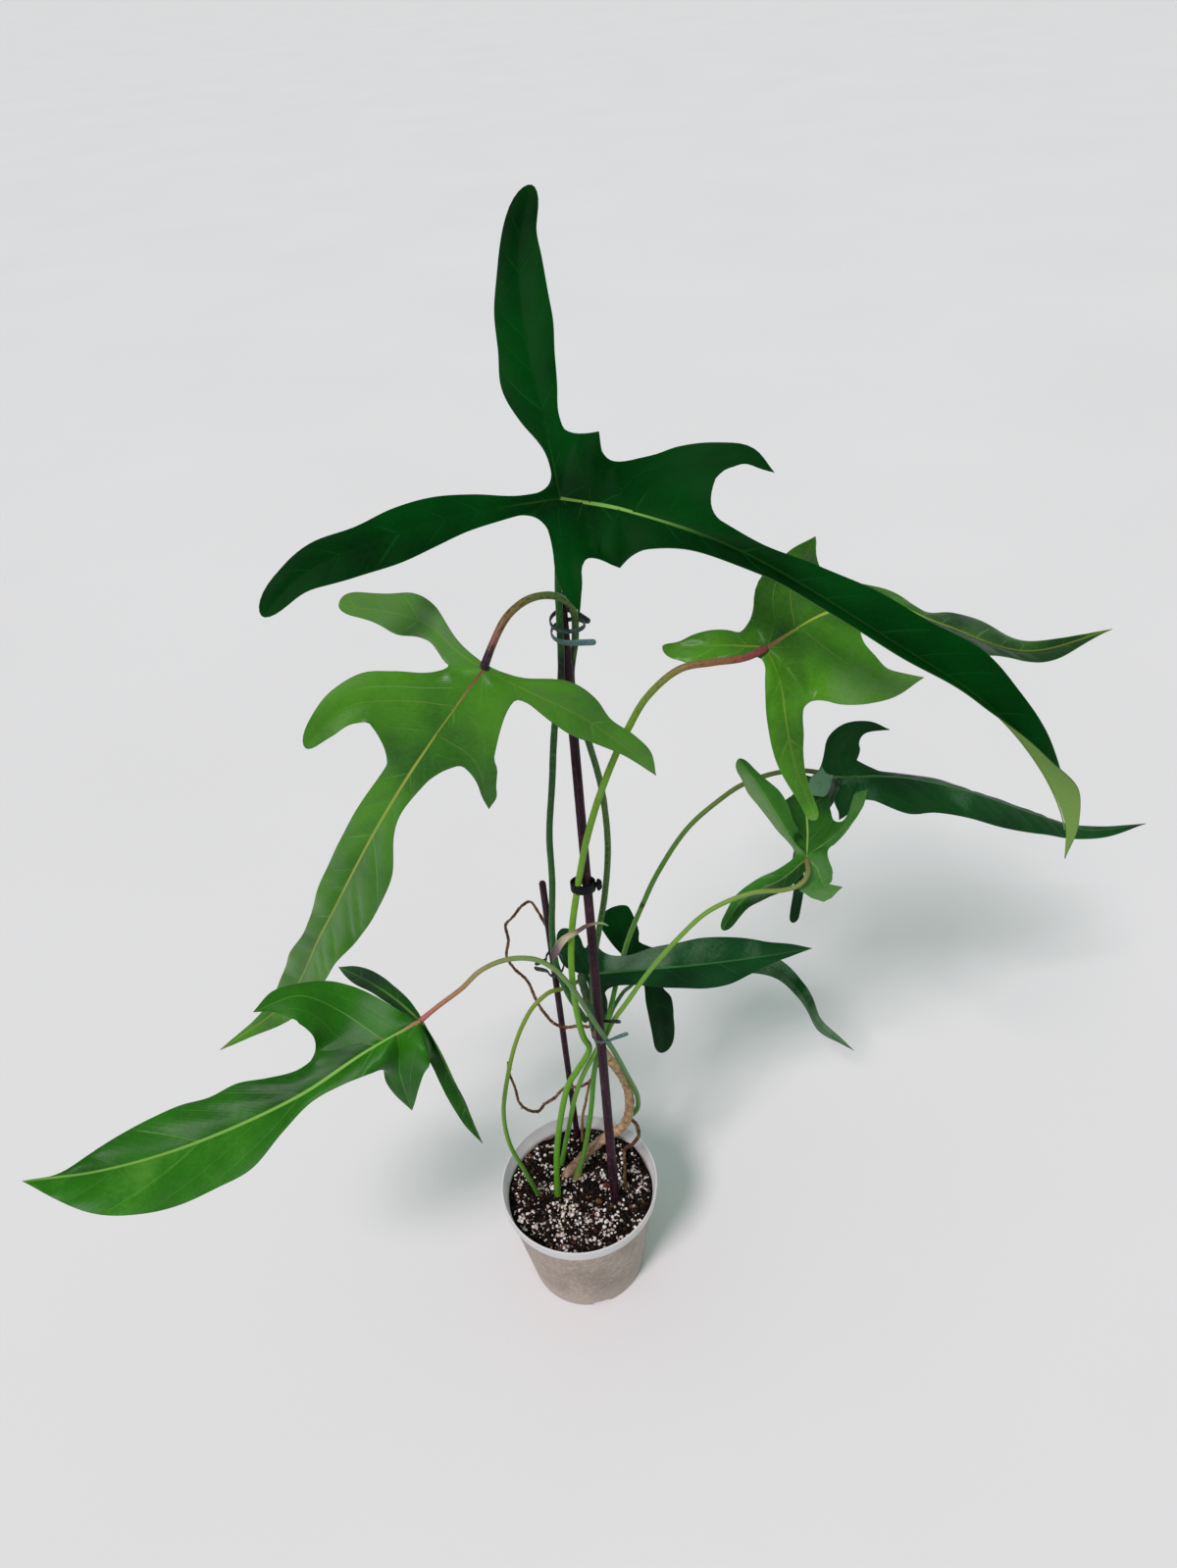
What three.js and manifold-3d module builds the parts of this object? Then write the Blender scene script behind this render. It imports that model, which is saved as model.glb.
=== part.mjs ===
// A potted Philodendron longilobatum: eight long-lobed leaves on slender stalks, a rooting stem, two
// stakes with ties, and a frosted nursery pot full of bark mix. Millimetres, +Z up, origin at the centre
// of the pot's base, the side that the plant shows best towards -Y.

import * as THREE from "three";
import Module from "manifold-3d";

const wasm = await Module();
wasm.setup();
const { Manifold, Mesh: SolidMesh } = wasm;

// The clear gap that parts one piece from the next where they touch, and the one under each blade.
const GAP = 0.3;
const SEAT = 0.6;

// A 12 cm nursery pot: a thin tapered shell with a wider rim band and a floor.
const POT = {
  height: 104,
  rimRadius: 60,
  rimBand: 11,
  rimStep: 1.6,
  baseRadius: 45,
  wall: 1.2,
  floor: 4.6,
  sides: 40,
};
const DRAIN = { count: 4, width: 14, height: 3.4, depth: 3.5, turn: 10 };

// The bark mix, with its uneven top a little below the rim.
const SOIL = { top: 91, bump: 1.3, rings: 6 };

// Leaf blades: how thick they are, how long one mesh step along a rib is, and how much each half arches.
const BLADE = { thickness: 0.7, step: 17, rows: 2, arch: 0.07, lift: 8 };
const RIB_SAMPLES = 64;

// Stalks, stems and roots are swept along smooth routes.
const SWEEP = { step: 13, sides: 6, sink: 9 };

const SATIN = { roughness: 0.45, metalness: 0 };
const MATERIALS = {
  frosted: { color: 0x8f8d88, roughness: 0.5, metalness: 0 },
  bark_mix: { color: 0x2e241d, roughness: 0.95, metalness: 0 },
  leaf_dark: { color: 0x14361c, ...SATIN },
  leaf: { color: 0x2c6b2f, ...SATIN },
  leaf_bright: { color: 0x3f8136, ...SATIN },
  stalk: { color: 0x5d7a3c, ...SATIN },
  stem: { color: 0x8a7148, roughness: 0.7, metalness: 0 },
  root: { color: 0xa8845a, roughness: 0.8, metalness: 0 },
  dry: { color: 0x9b7c58, roughness: 0.9, metalness: 0 },
  sheath: { color: 0xcbb6a6, roughness: 0.6, metalness: 0 },
  stake: { color: 0x40303a, roughness: 0.6, metalness: 0 },
  tie: { color: 0x4c8a4a, roughness: 0.5, metalness: 0 },
  clip: { color: 0x1a1a1c, roughness: 0.4, metalness: 0 },
};

// Each leaf: where its stalk meets the blade, the way its upper face looks, and its lobes, the long main
// one first and then the others in order to the left. A lobe's rib leaves the midrib at the share
// "from" of its length and runs through points measured from the stalk. Its half widths are at even
// steps out to the tip. "notch" is the cut between it and the next lobe: degrees to the left of the
// midrib, and distance. liftLeft and liftRight raise a half towards the upper face, twist turns the
// blade about its rib, both in degrees from the base of the lobe to its tip. "blunt" is the length over
// which a tip is rounded off.
const LEAVES = {
  a: {
    material: "leaf_dark",
    at: [34, -12, 665],
    faces: [0.08, -0.78, 0.62],
    lobes: [
      {
        rib: [[30, -6, -6], [78, -26, -21], [142, -56, -57], [186, -70, -88], [213, -76, -121],
          [234, -72, -162], [240, -68, -189]],
        left: [7, 11, 15, 16, 18, 14, 11, 8, 5],
        right: [12, 13, 14, 15, 16, 16, 14, 12, 6],
        twist: [0, 0, 0, 0, 0, 0, 10, 30, 40],
        liftLeft: [8, 8, 10, 10, 10, 10, 20],
        liftRight: [20, 50, 62, 66, 70, 95, 110],
        notch: [5, 65],
      },
      {
        from: 0.1,
        rib: [[44, 4, 1], [66, 6, 7], [83, 4, 11], [97, -4, 5]],
        left: [13, 12, 10, 6, 4],
        right: [10, 6, 5, 3, 2],
        notch: [41, 26],
      },
      { from: 0.04, rib: [[16, 8, 17], [20, 12, 25]], left: [6, 4], right: [5, 3], notch: [92, 26] },
      {
        rib: [[-3, 24, 20], [-7, 46, 38], [-10, 70, 65], [-8, 86, 92], [0, 94, 112]],
        left: [3, 11, 16, 14, 13, 10, 8],
        right: [7, 10, 12, 14, 13, 11, 7],
        blunt: 9,
        notch: [132, 5],
      },
      {
        rib: [[-27, -6, 1], [-54, -14, 1], [-96, -30, -3], [-114, -36, -8], [-134, -46, -21]],
        left: [6, 8, 11, 13, 12, 10, 6],
        right: [4, 8, 11, 11, 9, 10, 8],
        blunt: 9,
        notch: [-142, 12],
      },
      {
        from: 0.03,
        rib: [[2, -24, -18], [4, -40, -37]],
        left: [8, 5, 4, 2],
        right: [12, 8, 7, 5],
        notch: [-49, 28],
      },
      {
        from: 0.08,
        rib: [[21, -18, -16], [24, -24, -25]],
        left: [4, 2],
        right: [5, 4],
        notch: [-28, 39],
      },
    ],
  },
  b: {
    material: "leaf",
    at: [-8, -62, 609],
    faces: [-0.25, -0.8, 0.55],
    lobes: [
      {
        rib: [[-30, -4, -36], [-62, 2, -84], [-119, 40, -192], [-173, 78, -294], [-233, 90, -349]],
        left: [8, 21, 24, 22, 18, 16, 13, 11, 5],
        right: [13, 14, 14, 12, 10, 13, 12, 7, 3],
        notch: [11, 55],
      },
      {
        from: 0.09,
        rib: [[-10, -8, -43], [-7, -2, -79]],
        left: [11, 8, 6, 5],
        right: [8, 5, 3, 2],
        notch: [78, 14],
      },
      {
        rib: [[27, 0, -19], [42, 6, -34], [61, 14, -59], [78, 24, -88]],
        left: [5, 14, 12, 7, 8, 7],
        right: [6, 9, 10, 7, 4, 2],
        notch: [-176, 2],
      },
      {
        rib: [[-13, 20, 0], [-26, 44, 0], [-44, 66, -4], [-78, 92, -10]],
        left: [8, 7, 8, 10, 7, 5],
        right: [4, 8, 11, 12, 9, 8],
        blunt: 7,
        notch: [-51, 15],
      },
      {
        from: 0.05,
        rib: [[-42, 6, -16], [-68, 8, -19], [-88, 0, -34]],
        left: [11, 9, 8, 7, 5],
        right: [14, 14, 14, 10, 7],
        blunt: 8,
        notch: [-10, 64],
      },
    ],
  },
  c: {
    material: "leaf_bright",
    at: [131, -12, 576],
    faces: [-0.1, -0.62, 0.78],
    lobes: [
      {
        rib: [[34, 24, 2], [72, 48, -9], [113, 66, -37], [177, 88, -75], [239, 112, -80]],
        left: [12, 8, 6, 12, 15, 10, 6, 3],
        right: [16, 20, 22, 20, 12, 10, 9, 4],
        notch: [21, 57],
      },
      {
        from: 0.07,
        rib: [[16, 26, 18], [32, 45, 36]],
        left: [20, 12, 7],
        right: [4, 3, 2],
        notch: [77, 15],
      },
      {
        rib: [[-20, 16, -7], [-37, 22, -10], [-51, 24, -9]],
        faces: [-0.1, -0.62, 0.78],
        left: [7, 9, 12, 12, 8],
        right: [8, 9, 9, 7, 3],
        blunt: 5,
        notch: [-144, 2],
      },
      {
        rib: [[6, -8, -17], [7, -16, -32], [11, -22, -56], [24, -26, -95]],
        faces: [-0.1, -0.62, 0.78],
        left: [9, 8, 6, 4, 3, 3],
        right: [8, 10, 10, 9, 7, 5],
        blunt: 4,
        notch: [-91, 31],
      },
      {
        from: 0.08,
        rib: [[35, 2, -10], [59, -4, -25], [80, -6, -23]],
        left: [16, 13, 8, 4],
        right: [28, 20, 12, 6],
        notch: [-16, 53],
      },
    ],
  },
  d: {
    material: "leaf",
    at: [-80, -40, 351],
    faces: [-0.3, -0.45, 0.84],
    lobes: [
      {
        rib: [[-33, -10, -11], [-76, -26, -28], [-143, -46, -40], [-194, -58, -40], [-234, -64, -34]],
        left: [10, 8, 17, 29, 32, 34, 32, 26, 14],
        right: [15, 19, 24, 23, 25, 23, 18, 11, 2],
        notch: [23, 39],
      },
      {
        from: 0.06,
        rib: [[-17, -10, -33], [-16, -12, -71]],
        left: [19, 13, 7],
        right: [12, 12, 8],
        notch: [83, 28],
      },
      {
        rib: [[7, 0, -30], [14, -6, -61], [24, -14, -110]],
        left: [6, 9, 9, 7, 5],
        right: [8, 8, 8, 7, 5],
        liftLeft: [70],
        notch: [132, 3],
      },
      {
        rib: [[-19, 26, -7], [-41, 54, -19], [-67, 84, -35]],
        left: [4, 5, 5, 6, 4],
        right: [5, 6, 7, 7, 5],
        notch: [-49, 5],
      },
      {
        from: 0.1,
        rib: [[-50, 10, 5], [-69, 6, 25], [-97, 1, 20]],
        left: [21, 18, 16, 12, 4],
        right: [19, 17, 14, 8, 7],
        notch: [-12, 65],
      },
    ],
  },
  e: {
    material: "leaf_dark",
    at: [196, 78, 416],
    faces: [0.05, -0.6, 0.8],
    lobes: [
      {
        rib: [[51, 16, -19], [100, 26, -44], [159, 36, -81], [207, 46, -110], [259, 60, -122]],
        left: [10, 13, 13, 12, 11, 9, 7, 4],
        right: [27, 23, 22, 21, 17, 13, 8, 5],
        liftLeft: [-55],
        notch: [9, 31],
      },
      {
        from: 0.03,
        rib: [[2, 8, 5], [6, 14, 11], [13, 18, 19], [25, 18, 24], [38, 16, 22]],
        left: [14, 14, 11, 7, 3],
        right: [12, 14, 12, 5, 3],
        notch: [164, 9],
      },
      {
        rib: [[-7, -2, -2], [-14, -6, -2], [-20, -10, -3]],
        faces: [-0.2, -0.9, 0.3],
        left: [6, 9, 8, 6],
        right: [6, 8, 8, 6],
        blunt: 4,
        notch: [-129, 3],
      },
      {
        rib: [[3, 20, -33], [-5, 26, -60], [-15, 26, -87], [-14, 24, -121], [-17, 22, -155]],
        faces: [-0.1, -0.8, 0.5],
        left: [5, 5, 5, 4, 4, 4],
        right: [5, 5, 5, 4, 4, 4],
        blunt: 4,
        notch: [-55, 7],
      },
      {
        from: 0.06,
        rib: [[9, -4, -15], [2, -10, -29]],
        left: [3, 4, 4],
        right: [12, 9, 3],
        notch: [-34, 24],
      },
    ],
  },
  f: {
    material: "leaf_bright",
    at: [168, 28, 392],
    faces: [0, -0.62, 0.78],
    lobes: [
      {
        rib: [[4, 18, 5], [6, 32, 10], [9, 47, 12], [9, 55, 16], [7, 58, 22]],
        left: [12, 15, 15, 10, 6],
        right: [16, 15, 15, 13, 9],
        notch: [34, 16],
      },
      {
        from: 0.04,
        rib: [[-7, 4, 10], [-18, 6, 32], [-29, 10, 53], [-42, 12, 75]],
        faces: [-0.35, -0.8, 0.5],
        left: [3, 5, 6, 7, 8, 6],
        right: [6, 7, 9, 9, 6, 4],
        blunt: 5,
        notch: [63, 5],
      },
      {
        rib: [[-15, 3, -19], [-27, 3, -25], [-40, 1, -32], [-49, -1, -46], [-54, -3, -54]],
        faces: [0, -0.62, 0.78],
        left: [6, 7, 7, 7, 6, 5],
        right: [6, 7, 7, 6, 5, 4],
        blunt: 5,
        notch: [178, 6],
      },
      {
        rib: [[6, -2, -7], [8, -6, -14], [11, -10, -19], [21, -12, -16]],
        faces: [0, -0.62, 0.78],
        left: [10, 9, 6, 3],
        right: [10, 18, 13, 5],
        notch: [-43, 12],
      },
      {
        from: 0.04,
        rib: [[16, 4, 12], [29, 8, 22], [38, 12, 42]],
        left: [4, 4, 5, 6, 6],
        right: [5, 4, 2, 2, 2],
        notch: [-27, 31],
      },
    ],
  },
  g: {
    material: "leaf_dark",
    at: [25, 26, 306],
    faces: [0, -0.78, 0.62],
    lobes: [
      {
        rib: [[40, 8, -9], [73, 16, -18], [119, 28, -29], [161, 40, -38]],
        left: [11, 15, 17, 19, 18, 15, 10, 6],
        right: [10, 13, 15, 17, 16, 11, 6, 3],
        notch: [60, 14],
      },
      { from: 0.05, rib: [[4, 12, 11], [2, 20, 15]], left: [6, 3], right: [2, 2], notch: [105, 13] },
      {
        rib: [[-7, 8, 11], [-18, 22, 23]],
        left: [10, 13, 12, 10],
        right: [5, 7, 8, 8],
        blunt: 8,
        notch: [161, 3],
      },
      {
        rib: [[2, -2, -17], [4, -2, -35], [3, 0, -53]],
        left: [6, 6, 5, 4],
        right: [4, 5, 6, 5],
        blunt: 4,
        notch: [-37, 15],
      },
    ],
  },
  h: {
    material: "leaf_dark",
    at: [59, 80, 251],
    faces: [0.05, -0.62, 0.78],
    lobes: [
      {
        rib: [[39, 24, -23], [80, 38, -44], [113, 44, -66], [134, 40, -93], [150, 34, -129],
          [183, 36, -170]],
        left: [8, 11, 12, 11, 9, 8, 8, 6, 3],
        right: [8, 11, 12, 10, 8, 6, 6, 5, 2],
        notch: [29, 22],
      },
      {
        rib: [[-9, 18, 17], [-16, 30, 33]],
        faces: [0.05, -0.62, 0.78],
        left: [7, 10, 12, 13],
        right: [9, 12, 13, 13],
        blunt: 3,
        notch: [165, 5],
      },
      {
        rib: [[10, -6, -24], [15, -10, -52], [16, -12, -88]],
        faces: [0.05, -0.62, 0.78],
        left: [11, 11, 10, 10, 9],
        right: [3, 8, 10, 10, 9],
        blunt: 9,
        notch: [-49, 23],
      },
    ],
  },
};

// The leaf stalks, each from its blade down to the stem or into the soil. "radius" is at the blade end
// and at the foot. A stalk ends just under its blade, or at "top" from where they meet, in the notch.
const STALKS = {
  a: {
    radius: [1.7, 2.1],
    points: [[31, -15, 641], [29, -16, 622], [28, -16, 600], [26, -16, 572], [20, -13, 540],
      [15, -9, 499], [10, -4, 459], [8, -2, 419], [4, 0, 375], [4, 1, 344], [9, 0, 319],
      [18.7, 5.7, 282]],
  },
  b: {
    radius: [1.8, 2],
    points: [[-2, -56, 619], [5, -48, 627], [14, -40, 630], [23, -33, 628], [30, -26, 622],
      [35, -16, 610], [35, -7, 589], [31, -4, 564], [33, -2, 541], [38, 0, 513], [42, 3, 483],
      [43, 5, 440], [39, 7, 399], [32, 8, 360], [27, 8, 333], [24.6, 7.6, 297]],
  },
  c: {
    radius: [1.8, 2.3],
    soil: true,
    top: [-1.7, -3.8, -1.4],
    points: [[118.3, -18, 574.6], [101.4, -21, 575.6], [85.8, -22, 574.3], [69, -22, 560], [58, -22, 541],
      [43, -21, 505], [32, -19, 469], [27, -16.8, 446], [22.9, -14, 424], [16.9, -15.5, 391],
      [14, -17, 358], [14, -14, 317], [16, -9, 285], [19, -3, 263], [10, -2, 242], [2, -1, 225],
      [-7, -2, 188], [-14, -4, 143], [-18, -3, 88]],
  },
  d: {
    radius: [1.5, 1.9],
    top: [4.1, -2, -0.2],
    points: [[-68, -34, 356], [-53, -30, 365], [-40, -26, 375], [-24, -20, 376], [-8, -18, 372],
      [2, -20, 366], [12, -25, 354], [22, -22, 322], [28, -18, 299], [35, -8, 267], [44, 8, 215],
      [50, 18, 178], [48.8, 24.2, 153]],
  },
  e: {
    radius: [1.6, 2],
    soil: true,
    top: [-0.6, 3, -3.2],
    points: [[181, 86, 416], [161, 84, 419], [135, 76, 418], [117, 68, 412], [96, 60, 398], [75, 50, 371],
      [64, 48, 346], [53, 47, 316], [47, 44, 297], [40, 32, 281], [34, 12, 276], [29, 2, 267],
      [24, 3, 248], [20, 8, 221], [15, 12, 176], [7, 12, 128], [-3, 11, 88]],
  },
  f: {
    radius: [1.5, 1.9],
    soil: true,
    top: [-1, -7.7, -0.9],
    points: [[165.9, 15, 390.6], [161.2, 12, 385.8], [151.5, 11, 383], [131, 12, 382], [104, 11, 371],
      [83, 10, 349], [62, 8, 321], [48, 4, 301], [36, -2, 287], [31, -4, 277], [25, -2, 263],
      [20, 0, 249], [15, 1, 237], [6, 4, 207], [-3, 8, 161], [-14, 26, 88]],
  },
  g: {
    radius: [1.4, 1.7],
    soil: true,
    points: [[16, 28, 298], [8, 17, 305], [3, 11, 310], [-3, 8, 312], [-14, 2, 307], [-22, -2, 296],
      [-30, -4, 277], [-38, -6, 249], [-46, -8, 208], [-46, -7, 168], [-39, -5, 130], [-33, 1, 88]],
  },
  h: {
    radius: [1.3, 1.6],
    top: [-0.6, 2, -3.4],
    points: [[55, 72, 243], [46, 50, 257], [38, 34, 260], [33, 18, 265], [27.2, 10.6, 267]],
  },
};

// Everything else that is swept: stakes, the rooting stem, aerial roots and a dry stalk, each from its
// upper end down. "soil" marks a route whose foot is sunk into the mix.
const RODS = {
  stake_tall: {
    material: "stake",
    radius: [2.4, 3.6],
    sides: 10,
    step: 150,
    points: [[30, -10, 617], [26, -10, 40]],
  },
  stake_short: {
    material: "stake",
    radius: [2.1, 2.3],
    sides: 8,
    step: 150,
    points: [[2, 0, 419], [0, 50, 80]],
  },
  stem: {
    material: "stem",
    radius: [2.8, 3.9],
    sides: 8,
    soil: true,
    points: [[18, 13, 321], [20, 12, 306], [22, 10, 288], [24, 8, 270], [27, 8, 251], [31, 10, 237],
      [37, 14, 217], [42, 18, 197], [44, 22, 171], [42, 24, 146], [36, 25, 131], [25, 25, 122],
      [13, 24, 111], [2, 21, 100], [-6, 17, 94], [-13, 13, 86]],
  },
  root_upper: {
    material: "root",
    radius: [1.1, 0.9],
    sides: 5,
    points: [[20.4, 9.6, 271], [13, 15, 267], [5, 18, 263], [-3, 19, 266], [-9, 20, 276], [-14, 20, 292],
      [-18, 20, 312], [-25, 20, 324], [-29, 20, 337], [-26, 20, 351], [-26, 20, 366], [-21, 20, 372],
      [-13, 18, 384], [-8, 16, 388], [-4, 13, 382], [0.2, 10.5, 370]],
  },
  root_lower: {
    material: "root",
    radius: [1.3, 0.9],
    sides: 5,
    points: [[28.5, 12, 230], [21, 14, 220], [17, 17, 203], [9, 18, 196], [-3, 18, 195], [-11, 19, 184],
      [-19, 20, 176], [-25, 20, 168], [-32, 19, 172], [-37, 17, 184], [-38, 15, 203], [-40, 12, 229],
      [-39, 10, 241]],
  },
  root_right: {
    material: "root",
    radius: [1.5, 1.2],
    sides: 5,
    soil: true,
    points: [[45.6, 23.2, 141], [49, 18, 130], [44, 14, 125], [37, 27, 97], [36, 13, 96], [35, 1, 92],
      [35, -7, 86]],
  },
  dry_stalk: {
    material: "dry",
    radius: [1, 1.2],
    sides: 5,
    soil: true,
    points: [[12, 24, 173], [7, 30, 141], [4, 44, 92]],
  },
};

// The pointed sheath of a new leaf, a thin curved blade that tapers to its tip.
const SHEATH = {
  width: 4.6,
  wide: [1.15, 1.3, 1.1, 0.75, 0.5, 0.15],
  thickness: 1,
  points: [[2.2, -2.9, 356.5], [12, -20, 389], [21, -26, 401], [27, -28, 407], [34, -26, 406],
    [39, -22, 399]],
};

// Ties: flat bands wound round what they hold, with loose tails. "half" is the loop's half width and
// half depth, "turns" is how many times the band goes round, and "tails" are where its ends point. The
// band is "wide" at its ends and narrower round the loop, as shares of its width.
const TIES = {
  tie_top: {
    centre: [31.8, -12.3, 599],
    half: [8.4, 8.4],
    turns: 1.6,
    pitch: -6,
    start: 72,
    tails: [[43, -6, 596], [45, -22, 594]],
  },
  tie_low: {
    centre: [28, -12.6, 292],
    half: [5.7, 7.8],
    turns: 0.6,
    pitch: -4,
    start: 72,
    tails: [[42, -9, 296], [46, -20, 297]],
  },
  tie_short: {
    centre: [2.8, 6.4, 341],
    half: [5.8, 10.4],
    turns: 1,
    pitch: 4,
    start: 190,
    tails: [[-11, 8, 336], [-10, 4, 344]],
  },
};
const BAND = {
  width: 3.4,
  wide: [1, 1, 0.5, 0.5, 0.5, 0.5, 0.5, 0.5, 0.5, 1, 1],
  thickness: 1.2,
  sides: 6,
  step: 2.6,
};

// The black spring clip: an oval ring round a stalk and the tall stake, with two finger grips.
const CLIP = {
  centre: [26.3, -11.8, 427],
  half: [6.9, 4.4],
  turn: 38,
  height: 8,
  wall: 1.3,
  grip: [6.5, 2.6, 4.2],
  spread: 30,
};

// Vectors and smooth lines

const UP = new THREE.Vector3(0, 0, 1);
const vector = ([x, y, z]) => new THREE.Vector3(x, y, z);
const mix = (a, b, share) => a + (b - a) * share;
const mixed = (a, b, share) => new THREE.Vector3().lerpVectors(a, b, share);

// The value at a share between 0 and 1 of an evenly spaced list.
function evenly(list, share) {
  const place = share * (list.length - 1);
  const index = Math.min(Math.floor(place), Math.max(list.length - 2, 0));
  return list.length < 2 ? list[0] : mix(list[index], list[index + 1], place - index);
}

// A smooth curve through values at rising stations.
function smoothly(stations, values, at) {
  const last = stations.length - 1;
  const above = stations.findIndex((station, k) => k > 0 && at <= station);
  const i = (above < 0 ? last : above) - 1;
  const slope = (k) => {
    const [low, high] = [Math.max(k - 1, 0), Math.min(k + 1, last)];
    return (values[high] - values[low]) / (stations[high] - stations[low]);
  };
  const span = stations[i + 1] - stations[i];
  const s = (at - stations[i]) / span;
  const ends = (2 * s ** 3 - 3 * s ** 2 + 1) * values[i] + (3 * s ** 2 - 2 * s ** 3) * values[i + 1];
  const slopes = (s ** 3 - 2 * s ** 2 + s) * slope(i) + (s ** 3 - s ** 2) * slope(i + 1);
  return ends + span * slopes;
}

// Closed surfaces

function geometryOf(points, triangles) {
  const geometry = new THREE.BufferGeometry().setFromPoints(points);
  geometry.setIndex(triangles.flat());
  return geometry;
}

function solidOf(geometry) {
  const positions = geometry.getAttribute("position").array;
  return new Manifold(
    new SolidMesh({ numProp: 3, vertProperties: positions, triVerts: new Uint32Array(geometry.index.array) }),
  );
}

function shapeOf(solid) {
  const { vertProperties, triVerts } = solid.getMesh();
  const geometry = new THREE.BufferGeometry();
  geometry.setAttribute("position", new THREE.BufferAttribute(vertProperties, 3));
  geometry.setIndex(new THREE.BufferAttribute(triVerts, 1));
  return geometry;
}

// Rings of points joined into a tube with flat ends. Each ring turns anticlockwise about the way on.
function skinned(rings) {
  const sides = rings[0].length;
  const triangles = [];
  rings.slice(1).forEach((_, i) => {
    for (let j = 0; j < sides; j += 1) {
      const [a, b] = [i * sides + j, i * sides + ((j + 1) % sides)];
      triangles.push([a, b, b + sides], [a, b + sides, a + sides]);
    }
  });
  const end = (rings.length - 1) * sides;
  for (let j = 1; j < sides - 1; j += 1) {
    triangles.push([0, j + 1, j], [end, end + j, end + j + 1]);
  }
  return geometryOf(rings.flat(), triangles);
}

// A rod of changing size along a smooth route. "size" gives its two half measures at a share of the way,
// the first of them measured upright where a band or a blade must stand on edge.
function sweep(points, size, { sides = SWEEP.sides, step = SWEEP.step, upright = false } = {}) {
  const curve = new THREE.CatmullRomCurve3(points);
  const steps = Math.max(1, Math.round(curve.getLength() / step));
  const { normals, tangents } = curve.computeFrenetFrames(steps);
  const rings = tangents.map((tangent, i) => {
    const centre = curve.getPointAt(i / steps);
    const normal = upright ? UP.clone().projectOnPlane(tangent).normalize() : normals[i];
    const binormal = tangent.clone().cross(normal);
    const [first, second] = size(i / steps);
    return Array.from({ length: sides }, (_, j) => {
      const turn = ((j + 0.5) / sides) * Math.PI * 2;
      return centre
        .clone()
        .addScaledVector(normal, first * Math.cos(turn))
        .addScaledVector(binormal, second * Math.sin(turn));
    });
  });
  return skinned(rings);
}

// Leaf blades

// A rib with a frame that is carried along it: along the rib, across to the left, and up from the blade.
class Rib {
  constructor(points, up, twist = [0]) {
    this.curve = new THREE.CatmullRomCurve3(points);
    this.length = this.curve.getLength();
    this.twist = twist;
    this.ups = [];
    const carried = up.clone();
    for (let i = 0; i <= RIB_SAMPLES; i += 1) {
      carried.projectOnPlane(this.curve.getTangentAt(i / RIB_SAMPLES)).normalize();
      this.ups.push(carried.clone());
    }
  }

  frame(share) {
    const along = this.curve.getTangentAt(share);
    const place = share * RIB_SAMPLES;
    const index = Math.min(Math.floor(place), RIB_SAMPLES - 1);
    const up = mixed(this.ups[index], this.ups[index + 1], place - index).projectOnPlane(along).normalize();
    const turn = THREE.MathUtils.degToRad(evenly(this.twist, share));
    up.applyAxisAngle(along, -turn);
    return { point: this.curve.getPointAt(share), along, left: up.clone().cross(along), up };
  }
}

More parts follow.
